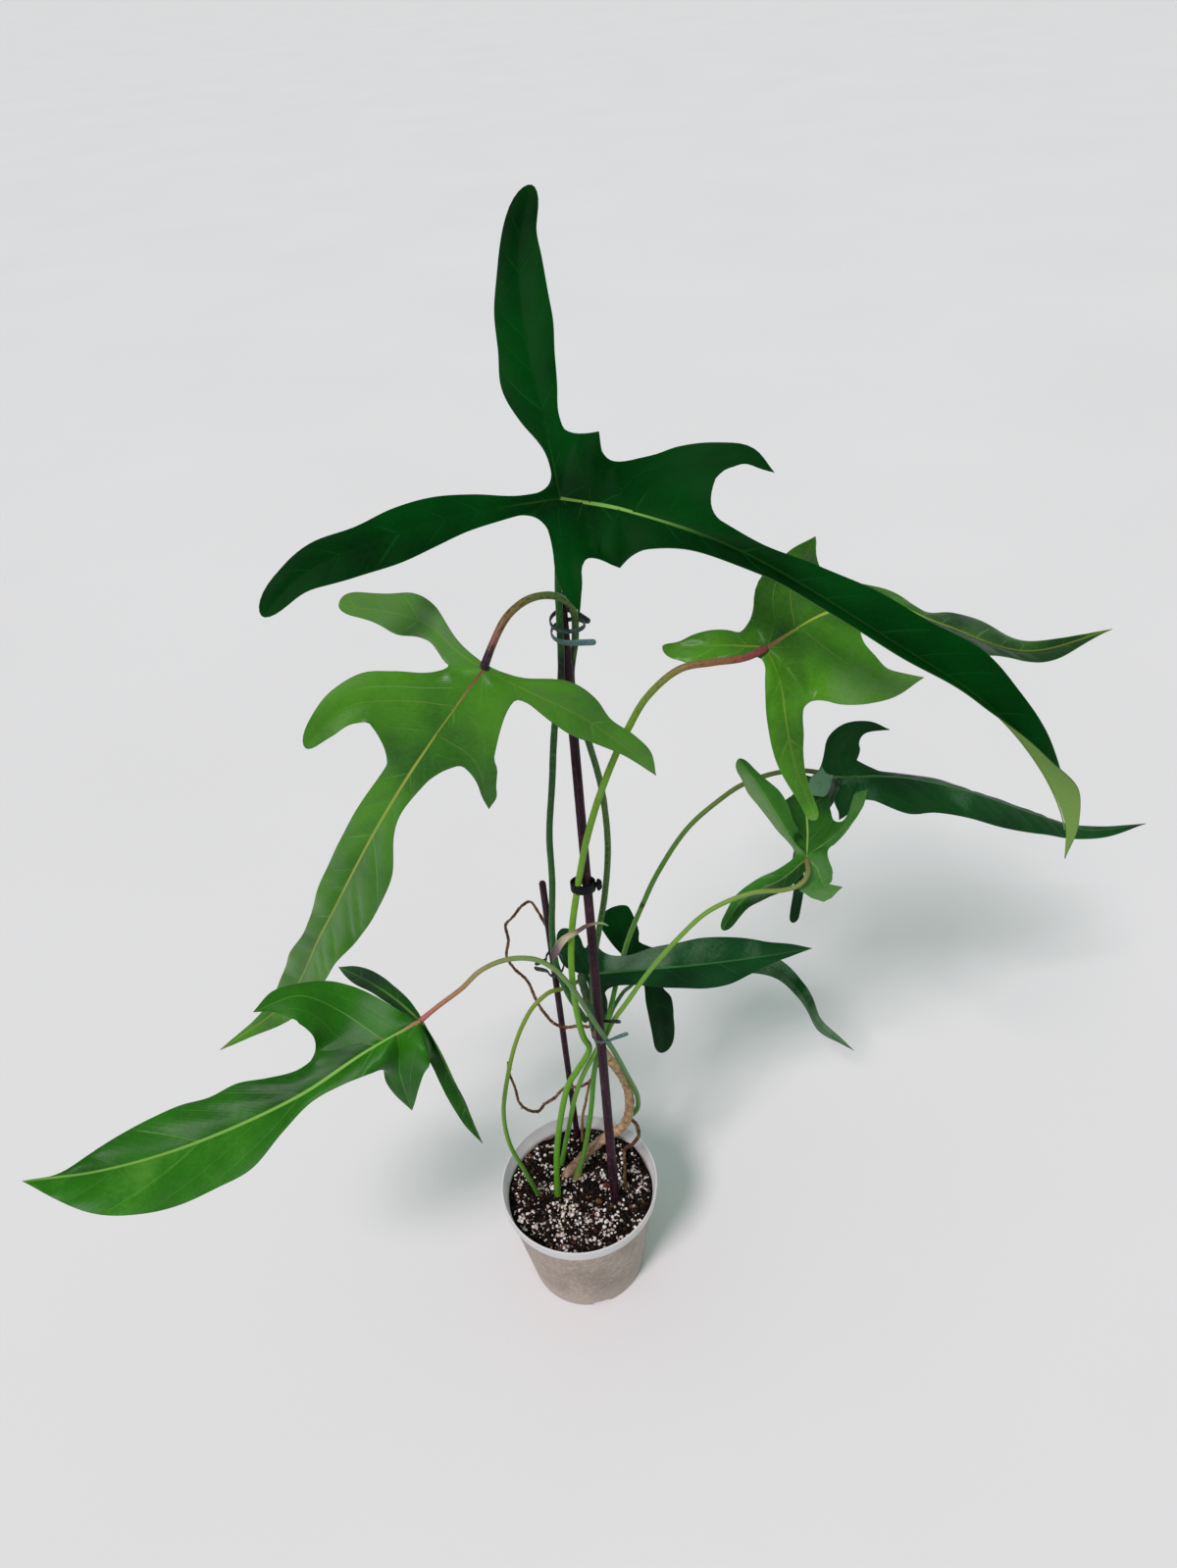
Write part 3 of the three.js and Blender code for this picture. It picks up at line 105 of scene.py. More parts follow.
# Each leaf: where its stalk meets the blade, the way its upper face looks, and its lobes, the long main
# one first and then the others in order to the left.
LEAVES = {
    "a": dict(at=(34, -12, 665), faces=(0.08, -0.78, 0.62), lobes=[
        lobe(rib=[(30, -6, -6), (78, -26, -21), (142, -56, -57), (186, -70, -88), (213, -76, -121),
             (234, -72, -162), (240, -68, -189)], left=(7, 11, 15, 16, 18, 14, 11, 8, 5),
             right=(12, 13, 14, 15, 16, 16, 14, 12, 6), notch=(5, 65),
             twist=(0, 0, 0, 0, 0, 0, 10, 30, 40), lift_left=(8, 8, 10, 10, 10, 10, 20),
             lift_right=(20, 50, 62, 66, 70, 95, 110)),
        lobe(rib=[(44, 4, 1), (66, 6, 7), (83, 4, 11), (97, -4, 5)], left=(13, 12, 10, 6, 4),
             right=(10, 6, 5, 3, 2), notch=(41, 26), start=0.1),
        lobe(rib=[(16, 8, 17), (20, 12, 25)], left=(6, 4), right=(5, 3), notch=(92, 26), start=0.04),
        lobe(rib=[(-3, 24, 20), (-7, 46, 38), (-10, 70, 65), (-8, 86, 92), (0, 94, 112)],
             left=(3, 11, 16, 14, 13, 10, 8), right=(7, 10, 12, 14, 13, 11, 7), notch=(132, 5), blunt=16),
        lobe(rib=[(-27, -6, 1), (-54, -14, 1), (-96, -30, -3), (-114, -36, -8), (-134, -46, -21)],
             left=(6, 8, 11, 13, 12, 10, 6), right=(4, 8, 11, 11, 9, 10, 8), notch=(-142, 12), blunt=16),
        lobe(rib=[(2, -24, -18), (4, -40, -37)], left=(8, 5, 4, 2), right=(12, 8, 7, 5), notch=(-49, 28),
             start=0.03),
        lobe(rib=[(21, -18, -16), (24, -24, -25)], left=(4, 2), right=(5, 4), notch=(-28, 39),
             start=0.08),
    ]),
    "b": dict(at=(-8, -62, 609), faces=(-0.25, -0.8, 0.55), lobes=[
        lobe(rib=[(-30, -4, -36), (-62, 2, -84), (-119, 40, -192), (-173, 78, -294), (-233, 90, -349)],
             left=(8, 21, 24, 22, 18, 16, 13, 11, 5), right=(13, 14, 14, 12, 10, 13, 12, 7, 3),
             notch=(11, 55)),
        lobe(rib=[(-10, -8, -43), (-7, -2, -79)], left=(11, 8, 6, 5), right=(8, 5, 3, 2), notch=(78, 14),
             start=0.09),
        lobe(rib=[(27, 0, -19), (42, 6, -34), (61, 14, -59), (78, 24, -88)], left=(5, 14, 12, 7, 8, 7),
             right=(6, 9, 10, 7, 4, 2), notch=(-176, 2)),
        lobe(rib=[(-13, 20, 0), (-26, 44, 0), (-44, 66, -4), (-78, 92, -10)], left=(8, 7, 8, 10, 7, 5),
             right=(4, 8, 11, 12, 9, 8), notch=(-51, 15), blunt=13),
        lobe(rib=[(-42, 6, -16), (-68, 8, -19), (-88, 0, -34)], left=(11, 9, 8, 7, 5),
             right=(14, 14, 14, 10, 7), notch=(-10, 64), start=0.05, blunt=14),
    ]),
    "c": dict(at=(131, -12, 576), faces=(-0.1, -0.62, 0.78), lobes=[
        lobe(rib=[(34, 24, 2), (72, 48, -9), (113, 66, -37), (177, 88, -75), (239, 112, -80)],
             left=(12, 8, 6, 12, 15, 10, 6, 3), right=(16, 20, 22, 20, 12, 10, 9, 4), notch=(21, 57)),
        lobe(rib=[(16, 26, 18), (32, 45, 36)], left=(20, 12, 7), right=(4, 3, 2), notch=(77, 15),
             start=0.07),
        lobe(rib=[(-20, 16, -7), (-37, 22, -10), (-51, 24, -9)], left=(7, 9, 12, 12, 8),
             right=(8, 9, 9, 7, 3), notch=(-144, 2), faces=(-0.1, -0.62, 0.78), blunt=9),
        lobe(rib=[(6, -8, -17), (7, -16, -32), (11, -22, -56), (24, -26, -95)], left=(9, 8, 6, 4, 3, 3),
             right=(8, 10, 10, 9, 7, 5), notch=(-91, 31), faces=(-0.1, -0.62, 0.78), blunt=7),
        lobe(rib=[(35, 2, -10), (59, -4, -25), (80, -6, -23)], left=(16, 13, 8, 4), right=(28, 20, 12, 6),
             notch=(-16, 53), start=0.08),
    ]),
    "d": dict(at=(-80, -40, 351), faces=(-0.3, -0.45, 0.84), lobes=[
        lobe(rib=[(-33, -10, -11), (-76, -26, -28), (-143, -46, -40), (-194, -58, -40), (-234, -64, -34)],
             left=(10, 8, 17, 29, 32, 34, 32, 26, 14), right=(15, 19, 24, 23, 25, 23, 18, 11, 2),
             notch=(23, 39)),
        lobe(rib=[(-17, -10, -33), (-16, -12, -71)], left=(19, 13, 7), right=(12, 12, 8), notch=(83, 28),
             start=0.06),
        lobe(rib=[(7, 0, -30), (14, -6, -61), (24, -14, -110)], left=(6, 9, 9, 7, 5),
             right=(8, 8, 8, 7, 5), notch=(132, 3), lift_left=(70,)),
        lobe(rib=[(-19, 26, -7), (-41, 54, -19), (-67, 84, -35)], left=(4, 5, 5, 6, 4),
             right=(5, 6, 7, 7, 5), notch=(-49, 5)),
        lobe(rib=[(-50, 10, 5), (-69, 6, 25), (-97, 1, 20)], left=(21, 18, 16, 12, 4),
             right=(19, 17, 14, 8, 7), notch=(-12, 65), start=0.1),
    ]),
    "e": dict(at=(196, 78, 416), faces=(0.05, -0.6, 0.8), lobes=[
        lobe(rib=[(51, 16, -19), (100, 26, -44), (159, 36, -81), (207, 46, -110), (259, 60, -122)],
             left=(10, 13, 13, 12, 11, 9, 7, 4), right=(27, 23, 22, 21, 17, 13, 8, 5), notch=(9, 31),
             lift_left=(-55,)),
        lobe(rib=[(2, 8, 5), (6, 14, 11), (13, 18, 19), (25, 18, 24), (38, 16, 22)],
             left=(14, 14, 11, 7, 3), right=(12, 14, 12, 5, 3), notch=(164, 9), start=0.03),
        lobe(rib=[(-7, -2, -2), (-14, -6, -2), (-20, -10, -3)], left=(6, 9, 8, 6), right=(6, 8, 8, 6),
             notch=(-129, 3), faces=(-0.2, -0.9, 0.3), blunt=7),
        lobe(rib=[(3, 20, -33), (-5, 26, -60), (-15, 26, -87), (-14, 24, -121), (-17, 22, -155)],
             left=(5, 5, 5, 4, 4, 4), right=(5, 5, 5, 4, 4, 4), notch=(-55, 7), faces=(-0.1, -0.8, 0.5),
             blunt=7),
        lobe(rib=[(9, -4, -15), (2, -10, -29)], left=(3, 4, 4), right=(12, 9, 3), notch=(-34, 24),
             start=0.06),
    ]),
    "f": dict(at=(168, 28, 392), faces=(0, -0.62, 0.78), lobes=[
        lobe(rib=[(4, 18, 5), (6, 32, 10), (9, 47, 12), (9, 55, 16), (7, 58, 22)],
             left=(12, 15, 15, 10, 6), right=(16, 15, 15, 13, 9), notch=(34, 16)),
        lobe(rib=[(-7, 4, 10), (-18, 6, 32), (-29, 10, 53), (-42, 12, 75)], left=(3, 5, 6, 7, 8, 6),
             right=(6, 7, 9, 9, 6, 4), notch=(63, 5), start=0.04, faces=(-0.35, -0.8, 0.5), blunt=9),
        lobe(rib=[(-15, 3, -19), (-27, 3, -25), (-40, 1, -32), (-49, -1, -46), (-54, -3, -54)],
             left=(6, 7, 7, 7, 6, 5), right=(6, 7, 7, 6, 5, 4), notch=(178, 6), faces=(0, -0.62, 0.78),
             blunt=9),
        lobe(rib=[(6, -2, -7), (8, -6, -14), (11, -10, -19), (21, -12, -16)], left=(10, 9, 6, 3),
             right=(10, 18, 13, 5), notch=(-43, 12), faces=(0, -0.62, 0.78)),
        lobe(rib=[(16, 4, 12), (29, 8, 22), (38, 12, 42)], left=(4, 4, 5, 6, 6), right=(5, 4, 2, 2, 2),
             notch=(-27, 31), start=0.04),
    ]),
    "g": dict(at=(25, 26, 306), faces=(0, -0.78, 0.62), lobes=[
        lobe(rib=[(40, 8, -9), (73, 16, -18), (119, 28, -29), (161, 40, -38)],
             left=(11, 15, 17, 19, 18, 15, 10, 6), right=(10, 13, 15, 17, 16, 11, 6, 3), notch=(60, 14)),
        lobe(rib=[(4, 12, 11), (2, 20, 15)], left=(6, 3), right=(2, 2), notch=(105, 13), start=0.05),
        lobe(rib=[(-7, 8, 11), (-18, 22, 23)], left=(10, 13, 12, 10), right=(5, 7, 8, 8), notch=(161, 3),
             blunt=14),
        lobe(rib=[(2, -2, -17), (4, -2, -35), (3, 0, -53)], left=(6, 6, 5, 4), right=(4, 5, 6, 5),
             notch=(-37, 15), blunt=7),
    ]),
    "h": dict(at=(59, 80, 251), faces=(0.05, -0.62, 0.78), lobes=[
        lobe(rib=[(39, 24, -23), (80, 38, -44), (113, 44, -66), (134, 40, -93), (150, 34, -129),
             (183, 36, -170)], left=(8, 11, 12, 11, 9, 8, 8, 6, 3), right=(8, 11, 12, 10, 8, 6, 6, 5, 2),
             notch=(29, 22)),
        lobe(rib=[(-9, 18, 17), (-16, 30, 33)], left=(7, 10, 12, 13), right=(9, 12, 13, 13),
             notch=(165, 5), faces=(0.05, -0.62, 0.78), blunt=5),
        lobe(rib=[(10, -6, -24), (15, -10, -52), (16, -12, -88)], left=(11, 11, 10, 10, 9),
             right=(3, 8, 10, 10, 9), notch=(-49, 23), faces=(0.05, -0.62, 0.78), blunt=16),
    ]),
}

# Each stalk, from its blade down: its radius at both ends and its route. "flare" is how far its foot
# widens, and "soil" marks what stands in the mix.
STALKS = {
    "a": dict(radius=(1.7, 2.1),
        points=[(31, -15, 641), (29, -16, 622), (28, -16, 600), (26, -16, 572), (20, -13, 540),
                (15, -9, 499), (10, -4, 459), (8, -2, 419), (4, 0, 375), (4, 1, 344), (9, 0, 319),
                (18.7, 5.7, 282)]),
    "b": dict(radius=(1.8, 2),
        points=[(-2, -56, 619), (5, -48, 627), (14, -40, 630), (23, -33, 628), (30, -26, 622),
                (35, -16, 610), (35, -7, 589), (31, -4, 564), (33, -2, 541), (38, 0, 513), (42, 3, 483),
                (43, 5, 440), (39, 7, 399), (32, 8, 360), (27, 8, 333), (24.6, 7.6, 297)]),
    "c": dict(radius=(1.8, 2.3), soil=True, flare=0.5,
        points=[(118.3, -18, 574.6), (101.4, -21, 575.6), (85.8, -22, 574.3), (69, -22, 560),
                (58, -22, 541), (43, -21, 505), (32, -19, 469), (27, -16.8, 446), (22.9, -14, 424),
                (16.9, -15.5, 391), (14, -17, 358), (14, -14, 317), (16, -9, 285), (19, -3, 263),
                (10, -2, 242), (2, -1, 225), (-7, -2, 188), (-14, -4, 143), (-18, -3, 88)]),
    "d": dict(radius=(1.5, 1.9),
        points=[(-68, -34, 356), (-53, -30, 365), (-40, -26, 375), (-24, -20, 376), (-8, -18, 372),
                (2, -20, 366), (12, -25, 354), (22, -22, 322), (28, -18, 299), (35, -8, 267),
                (44, 8, 215), (50, 18, 178), (48.8, 24.2, 153), (44, 23.5, 147)]),
    "e": dict(radius=(1.6, 2), soil=True, flare=1.8,
        points=[(181, 86, 416), (161, 84, 419), (135, 76, 418), (117, 68, 412), (96, 60, 398),
                (75, 50, 371), (64, 48, 346), (53, 47, 316), (47, 44, 297), (40, 32, 281), (34, 12, 276),
                (29, 2, 267), (24, 3, 248), (20, 8, 221), (15, 12, 176), (7, 12, 128), (-3, 11, 88)]),
    "f": dict(radius=(1.5, 1.9), soil=True, flare=0.5,
        points=[(165.9, 15, 390.6), (161.2, 12, 385.8), (151.5, 11, 383), (131, 12, 382), (104, 11, 371),
                (83, 10, 349), (62, 8, 321), (48, 4, 301), (36, -2, 287), (31, -4, 277), (25, -2, 263),
                (20, 0, 249), (15, 1, 237), (6, 4, 207), (-3, 8, 161), (-14, 26, 88)]),
    "g": dict(radius=(1.4, 1.7), soil=True, flare=0.5,
        points=[(16, 28, 298), (8, 17, 305), (3, 11, 310), (-3, 8, 312), (-14, 2, 307), (-22, -2, 296),
                (-30, -4, 277), (-38, -6, 249), (-46, -8, 208), (-46, -7, 168), (-39, -5, 130),
                (-33, 1, 88)]),
    "h": dict(radius=(1.3, 1.6),
        points=[(55, 72, 243), (46, 50, 257), (38, 34, 260), (33, 18, 265), (27.2, 10.6, 267)]),
}

# The stakes, the stem, the roots and the dry stalk, in the same way.
RODS = {
    "stake_tall": dict(radius=(2.4, 3.6),
        points=[(30, -10, 617), (26, -10, 40)]),
    "stake_short": dict(radius=(2.1, 2.3),
        points=[(2, 0, 419), (0, 50, 80)]),
    "stem": dict(radius=(2.8, 3.9), soil=True,
        points=[(18, 13, 321), (20, 12, 306), (22, 10, 288), (24, 8, 270), (27, 8, 251), (31, 10, 237),
                (37, 14, 217), (42, 18, 197), (44, 22, 171), (42, 24, 146), (36, 25, 131), (25, 25, 122),
                (13, 24, 111), (2, 21, 100), (-6, 17, 94), (-13, 13, 86)]),
    "root_upper": dict(radius=(1.1, 0.9),
        points=[(20.4, 9.6, 271), (13, 15, 267), (5, 18, 263), (-3, 19, 266), (-9, 20, 276),
                (-14, 20, 292), (-18, 20, 312), (-25, 20, 324), (-29, 20, 337), (-26, 20, 351),
                (-26, 20, 366), (-21, 20, 372), (-13, 18, 384), (-8, 16, 388), (-4, 13, 382),
                (0.2, 10.5, 370)]),
    "root_lower": dict(radius=(1.3, 0.9),
        points=[(28.5, 12, 230), (21, 14, 220), (17, 17, 203), (9, 18, 196), (-3, 18, 195),
                (-11, 19, 184), (-19, 20, 176), (-25, 20, 168), (-32, 19, 172), (-37, 17, 184),
                (-38, 15, 203), (-40, 12, 229), (-39, 10, 241)]),
    "root_right": dict(radius=(1.5, 1.2), soil=True,
        points=[(42, 24, 145), (47, 22.5, 139), (49, 18, 130), (44, 14, 125), (37, 27, 97), (36, 13, 96),
                (35, 1, 92), (35, -7, 86)]),
    "dry_stalk": dict(radius=(1, 1.2), soil=True,
        points=[(16, 20, 198), (12, 24, 173), (7, 30, 141), (4, 44, 92)]),
}

# The joints of the stem at shares of its length, and how many side roots an aerial root has.
STEM_JOINTS = (0.09, 0.21, 0.33, 0.46, 0.58, 0.69, 0.79, 0.88)
ROOTLETS = dict(root_upper=4, root_lower=9, root_right=4)

# The ties: where the loops are, half their breadth and depth, how many turns they make, the rise of a
# turn, where they start in degrees, and where their two ends reach to. BAND is their band: its width, how
# broad it is at even steps along it, its thickness, the step of its mesh, and the pitch of its ribs. A
# turn has so many points, and the loops start and end so many degrees inside their turns.
TIES = {
    "tie_top": dict(centre=(31.8, -12.3, 599), half=(8.4, 8.4), turns=1.6, pitch=-6, start=72,
        tails=[(43, -6, 596), (45, -22, 594)]),
    "tie_low": dict(centre=(28, -12.6, 292), half=(5.7, 7.8), turns=0.6, pitch=-4, start=72,
        tails=[(42, -9, 296), (46, -20, 297)]),
    "tie_short": dict(centre=(2.8, 6.4, 341), half=(5.8, 10.4), turns=1, pitch=4, start=190,
        tails=[(-11, 8, 336), (-10, 4, 344)]),
}
BAND = dict(width=3.4, wide=(1, 1, 0.7, 0.7, 0.7, 0.7, 0.7, 0.7, 0.7, 1, 1), thickness=1.2, step=0.55,
            pitch=1.5)
TIE_POINTS = 16
TIE_GAP = 18

# The sheath, with its width at shares of its route, and the clip, with the turn and spread in degrees.
SHEATH = dict(
    width=4.6,
    wide=(1.15, 1.3, 1.1, 0.75, 0.5, 0.15),
    points=[(2.2, -2.9, 356.5), (12, -20, 389), (21, -26, 401), (27, -28, 407), (34, -26, 406),
            (39, -22, 399)],
)
CLIP = dict(centre=(26.3, -11.8, 424), half=(6.4, 4.2), turn=-4, height=6.5, wall=1.1, grip=5, spread=34)

# Leaf colours: the dark and light green of the upper face, its palest places, the side veins, the
# midrib, the foot of the midrib, the edge and the under face. "gloss" is the roughness and "shine" the
# strength of the reflection, "veins" the spacing of the side veins in millimetres, "lead" how strongly
# they lean to the tip, "puff" how far the blade swells between them, and "wave" how far its edge waves.
# "line" is the breadth of the midrib, "fade" the share at which its colour has faded and what is left
# of it there, "side" how strongly the ribs of the other lobes show, and "raised" how far the midrib
# stands up from the upper face.
LEAF_LOOKS = {
    "a": dict(dark="001c04", light="003c0a", pale="044c14", vein="0a4c18", rib="78aa50", foot="5c7c34",
              edge="0a3c18", under="7a9c50", gloss=0.5, shine=0.03, veins=22, lead=1.2, puff=0.3, wave=0.5,
              line=0.7, fade=(0.22, 0.04), side=0.06),
    "b": dict(dark="1e500c", light="427e14", pale="4c7038", vein="5c983a", rib="88983c", foot="6a3c34",
              edge="2f5c1a", under="5c8c44", gloss=0.32, shine=0.2, veins=30, lead=1.3, puff=1.4, wave=0.8,
              line=0.5, fade=(1.0, 0.45), side=0.25),
    "c": dict(dark="10340c", light="468416", pale="78985c", vein="5c9430", rib="9cac40", foot="7c4a3c",
              edge="4c7c28", under="6a9454", gloss=0.3, shine=0.18, veins=24, lead=1.3, puff=1.3, wave=0.6,
              line=0.8, fade=(0.7, 0.3), side=0.3),
    "d": dict(dark="0c3f06", light="286c0e", pale="589030", vein="5c983c", rib="7cac4a", foot="a06a50",
              edge="2a5c1a", under="4f8444", gloss=0.36, shine=0.11, veins=38, lead=1.6, puff=1.2, wave=0.6,
              line=1.1, fade=(1.0, 0.75), side=0.35, raised=0.7),
    "e": dict(dark="00240a", light="12481a", pale="5f8466", vein="285f2c", rib="4c7840", foot="5c7040",
              edge="1f4c22", under="6f8f74", gloss=0.42, shine=0.08, veins=22, lead=1.4, puff=0.8, wave=0.6,
              line=0.7, fade=(1.0, 0.3), side=0.2),
    "f": dict(dark="123c10", light="32701c", pale="688658", vein="4f7c3c", rib="8aac58", foot="7c7040",
              edge="3c6c30", under="7c9a74", gloss=0.38, shine=0.12, veins=16, lead=1.2, puff=0.5, wave=0.4,
              line=0.6, fade=(1.0, 0.4), side=0.35),
    # g's pale grey green is the colour of its painted sheen
    "g": dict(dark="04260e", light="0f441c", pale="5f7c5f", vein="205228", rib="3c7038", foot="4f7444",
              edge="14401c", under="4f7a5c", gloss=0.4, shine=0.12, veins=24, lead=1.3, puff=0.9, wave=0.5,
              line=0.6, fade=(1.0, 0.3), side=0.2),
    "h": dict(dark="001604", light="033a0e", pale="5c7c5c", vein="0f4420", rib="24542a", foot="3c6434",
              edge="0e3016", under="406440", gloss=0.44, shine=0.05, veins=18, lead=1.3, puff=0.5, wave=0.8,
              line=0.5, fade=(1.0, 0.3), side=0.15),
}

# How much lighter, above 0, or darker the left and right halves of a lobe are, from its foot to its tip.
# Some of these are painted light and shade: the darkened far end of c's main lobe is painted shadow
# of leaf a, the lighter left half and darker right half of d's main lobe are painted light and shade,
# and the pale left half of g's main lobe near its foot is a painted sheen.
TINTS_AND_PAINTED_LIGHT = {
    ("a", 0): ((0,), (-0.1, 0.1)),
    ("b", 2): ((0.15,), (0.15,)),
    ("b", 3): ((0.45,), (0.45,)),
    # painted shadow of leaf a on the far end of c's main lobe, deepest on its right half
    ("c", 0): ((-0.15, -0.05, -0.15, -0.25), (0.1, -0.1, -0.7, -0.8)),
    ("c", 1): ((-0.1, -0.15), (-0.1,)),
    ("c", 2): ((0.1,), (0.05,)),
    ("c", 3): ((0.15,), (0.2,)),
    ("c", 4): ((0.15,), (0.2,)),
    # painted light on the left half of d's main lobe, and painted shade on its right half
    ("d", 0): ((0.1, 0.15, 0.25), (-0.15, -0.05)),
    ("d", 2): ((-0.25,), (-0.25,)),
    ("d", 3): ((-0.4,), (-0.4,)),
    ("d", 4): ((0.1,), (0.15,)),
    ("e", 0): ((0,), (0.15, 0.1, 0, 0)),
    ("e", 2): ((0.8,), (0.8,)),
    ("e", 3): ((-0.3,), (-0.3,)),
    ("f", 1): ((0.55,), (0,)),
    ("f", 2): ((-0.4,), (0,)),
    ("f", 3): ((0.45,), (0.4,)),
    ("f", 4): ((0.2,), (0.15,)),
    # painted sheen on the left half of g's main lobe near its foot
    ("g", 0): ((0.7, 0.2, 0), (0,)),
    ("h", 0): ((0.2, 0.5, 0.4, 0.5), (0, 0.3, 0.55, 0.4)),
}

# Stalk colours from the blade down, at shares of the way, and how strongly dark flecks show. The
# nearly black band on stalks a and b, at one height on both, is painted shade.
STALK_LOOKS = {
    # painted shade: the nearly black band a little below a fifth of the way down
    "a": dict(stops=[(0, "164c1c"), (0.19, "1c521c"), (0.215, "0a140c"), (0.245, "0a140c"),
                     (0.27, "1c501c"), (1, "245c20")], flecks=0.7),
    # painted shade: the nearly black band at about a third of the way down
    "b": dict(stops=[(0, "2a1622"), (0.02, "30182a"), (0.035, "7c4a40"), (0.08, "6d6036"),
                     (0.14, "4c6a2e"), (0.24, "3c6028"), (0.285, "345a24"), (0.3, "0c150d"),
                     (0.325, "0c150d"), (0.35, "3f602a"), (1, "40682a")], flecks=0.9),
    "c": dict(stops=[(0, "70323a"), (0.03, "84463a"), (0.07, "80603a"), (0.11, "6d7c32"),
                     (0.15, "648c24"), (0.5, "62961e"), (1, "4f8c1e")], flecks=0.4),
    "d": dict(stops=[(0, "a85c58"), (0.06, "9c6c50"), (0.14, "8c8458"), (0.22, "748c50"),
                     (0.4, "547848"), (1, "4c8030")], flecks=0.3),
    "e": dict(stops=[(0, "5a5c30"), (0.14, "5c6a32"), (0.24, "5c8034"), (0.362, "568530"),
                     (0.367, "20301c"), (0.374, "568530"), (0.8, "4f8c2c"), (0.94, "5a8434"),
                     (1, "9c7c54")], flecks=0.35),
    "f": dict(stops=[(0, "74683a"), (0.06, "748040"), (0.2, "6c9438"), (1, "58982e")], flecks=0.25),
    "g": dict(stops=[(0, "4a7a38"), (0.12, "74842c"), (0.3, "728c2c"), (0.5, "5f8c2c"),
                     (1, "4c8424")], flecks=0.2),
    "h": dict(stops=[(0, "2c5c28"), (1, "3c7030")], flecks=0.4),
}

# Tie colours along the band: its near black start, behind the stakes, is painted shade.
TIE_COLOURS_AND_SHADE = {
    "tie_top": [(0, "0e1514"), (0.3, "1a2625"), (0.75, "36504f"), (1, "4c6c6c")],
    "tie_low": [(0, "0c1211"), (0.4, "162120"), (0.75, "36504f"), (1, "4c6c6c")],
    "tie_short": [(0, "0a0f0e"), (0.8, "0e1514"), (1, "1c3030")],
}

# The mix on top of the pot: how many grains of each kind, their sizes, and their colours.
PERLITE = dict(count=1250, size=(0.45, 1.7), colours=("d8cec2", "f6f3ee", "a89a8c", "cdb6ae"), seed=7)
CRUMBS = dict(count=1500, size=(0.7, 1.9), colours=("120c08", "1c130d", "2c1e16", "0c0805"), seed=11)
CHIPS = dict(count=60, size=(1.3, 2.8), colours=("4f2418", "6a4a30", "3a1c14", "5c2c1c"), seed=23)

# Colours and node materials


def colour(code):
    """A screen colour such as 3f8136 as linear values."""
    screen = [int(code[i:i + 2], 16) / 255 for i in (0, 2, 4)]
    linear = [c / 12.92 if c <= 0.04045 else ((c + 0.055) / 1.055) ** 2.4 for c in screen]
    return (*linear, 1.0)


class Paint:
    """A material under construction. Values that its calls take are numbers, colours or sockets."""

    def __init__(self, name):
        self.material = bpy.data.materials.new(name)
        self.material.use_nodes = True
        self.nodes = self.material.node_tree.nodes
        self.shader = self.nodes["Principled BSDF"]

    def feed(self, socket, value):
        if isinstance(value, bpy.types.NodeSocket):
            self.material.node_tree.links.new(value, socket)
        elif isinstance(value, str):
            socket.default_value = colour(value)
        else:
            socket.default_value = value

    def node(self, kind, inputs=(), **settings):
        made = self.nodes.new("ShaderNode" + kind)
        for name, value in settings.items():
            setattr(made, name, value)
        for key, value in dict(inputs).items():
            self.feed(made.inputs[key], value)
        return made

    def math(self, operation, *values):
        return self.node("Math", enumerate(values), operation=operation).outputs[0]

    def times(self, *values):
        """The product of the values."""
        product = values[0]
        for value in values[1:]:
            product = self.math("MULTIPLY", product, value)
        return product

    def scaled(self, value, factor, plus):
        return self.math("MULTIPLY_ADD", value, factor, plus)

    def mix(self, share, first, second):
        made = self.node("Mix", data_type="RGBA")
        self.feed(made.inputs["Factor"], share)
        self.feed(made.inputs[6], first)
        self.feed(made.inputs[7], second)
        return made.outputs[2]

    def fall(self, value, low, high, start=1.0, end=0.0):
        """start up to low, end from high on, and a smooth run between them."""
        inputs = {"Value": value, 1: low, 2: high, 3: start, 4: end}
        return self.node("MapRange", inputs, interpolation_type="SMOOTHSTEP").outputs[0]

    def rise(self, value, low, high, end=1.0):
        """Nothing up to low, end from high on, and a smooth run between them."""
        return self.fall(value, low, high, 0.0, end)

    def attribute(self, name):
        return self.node("Attribute", attribute_name=name).outputs["Vector"]

    def parts(self, vector):
        return self.node("SeparateXYZ", {0: vector}).outputs[:3]

    def share(self):
        """How far along its tube a point is, from 0 to 1."""
        return self.parts(self.attribute("share"))[0]

    def place(self):
        """Where a point is, in millimetres."""
        found = self.node("TexCoord").outputs["Object"]
        return self.node("VectorMath", {0: found, "Scale": 1 / MM}, operation="SCALE").outputs[0]

    def grain(self, lengthways):
        """Where a point is on the skin of its tube, with lengths shortened, so that marks are drawn out."""
        inputs = {0: self.attribute("bark"), 1: (1.0, 1.0, lengthways)}
        return self.node("VectorMath", inputs, operation="MULTIPLY").outputs[0]

    def noise(self, vector, scale, detail=3.0, rough=0.5):
        inputs = {"Vector": vector, "Scale": scale, "Detail": detail, "Roughness": rough}
        return self.node("TexNoise", inputs).outputs[0]

    def ramp(self, value, stops):
        made = self.node("ValToRGB", {0: value})
        elements = made.color_ramp.elements
        while len(elements) > 1:
            elements.remove(elements[0])
        elements[0].position = stops[0][0]
        elements[0].color = colour(stops[0][1])
        for position, code in stops[1:]:
            elements.new(position).color = colour(code)
        return made.outputs[0]

    def finish(self, base, roughness, bump=None, strength=0.3, reach=0.4, shine=0.5):
        """Sets the surface: its colour, roughness, a bump of "reach" millimetres, and reflection."""
        self.feed(self.shader.inputs["Base Color"], base)
        self.feed(self.shader.inputs["Roughness"], roughness)
        if bump is not None:
            inputs = {"Height": bump, "Strength": strength, "Distance": reach * MM}
            self.feed(self.shader.inputs["Normal"], self.node("Bump", inputs).outputs[0])
        self.shader.inputs["Specular IOR Level"].default_value = shine
        return self.material


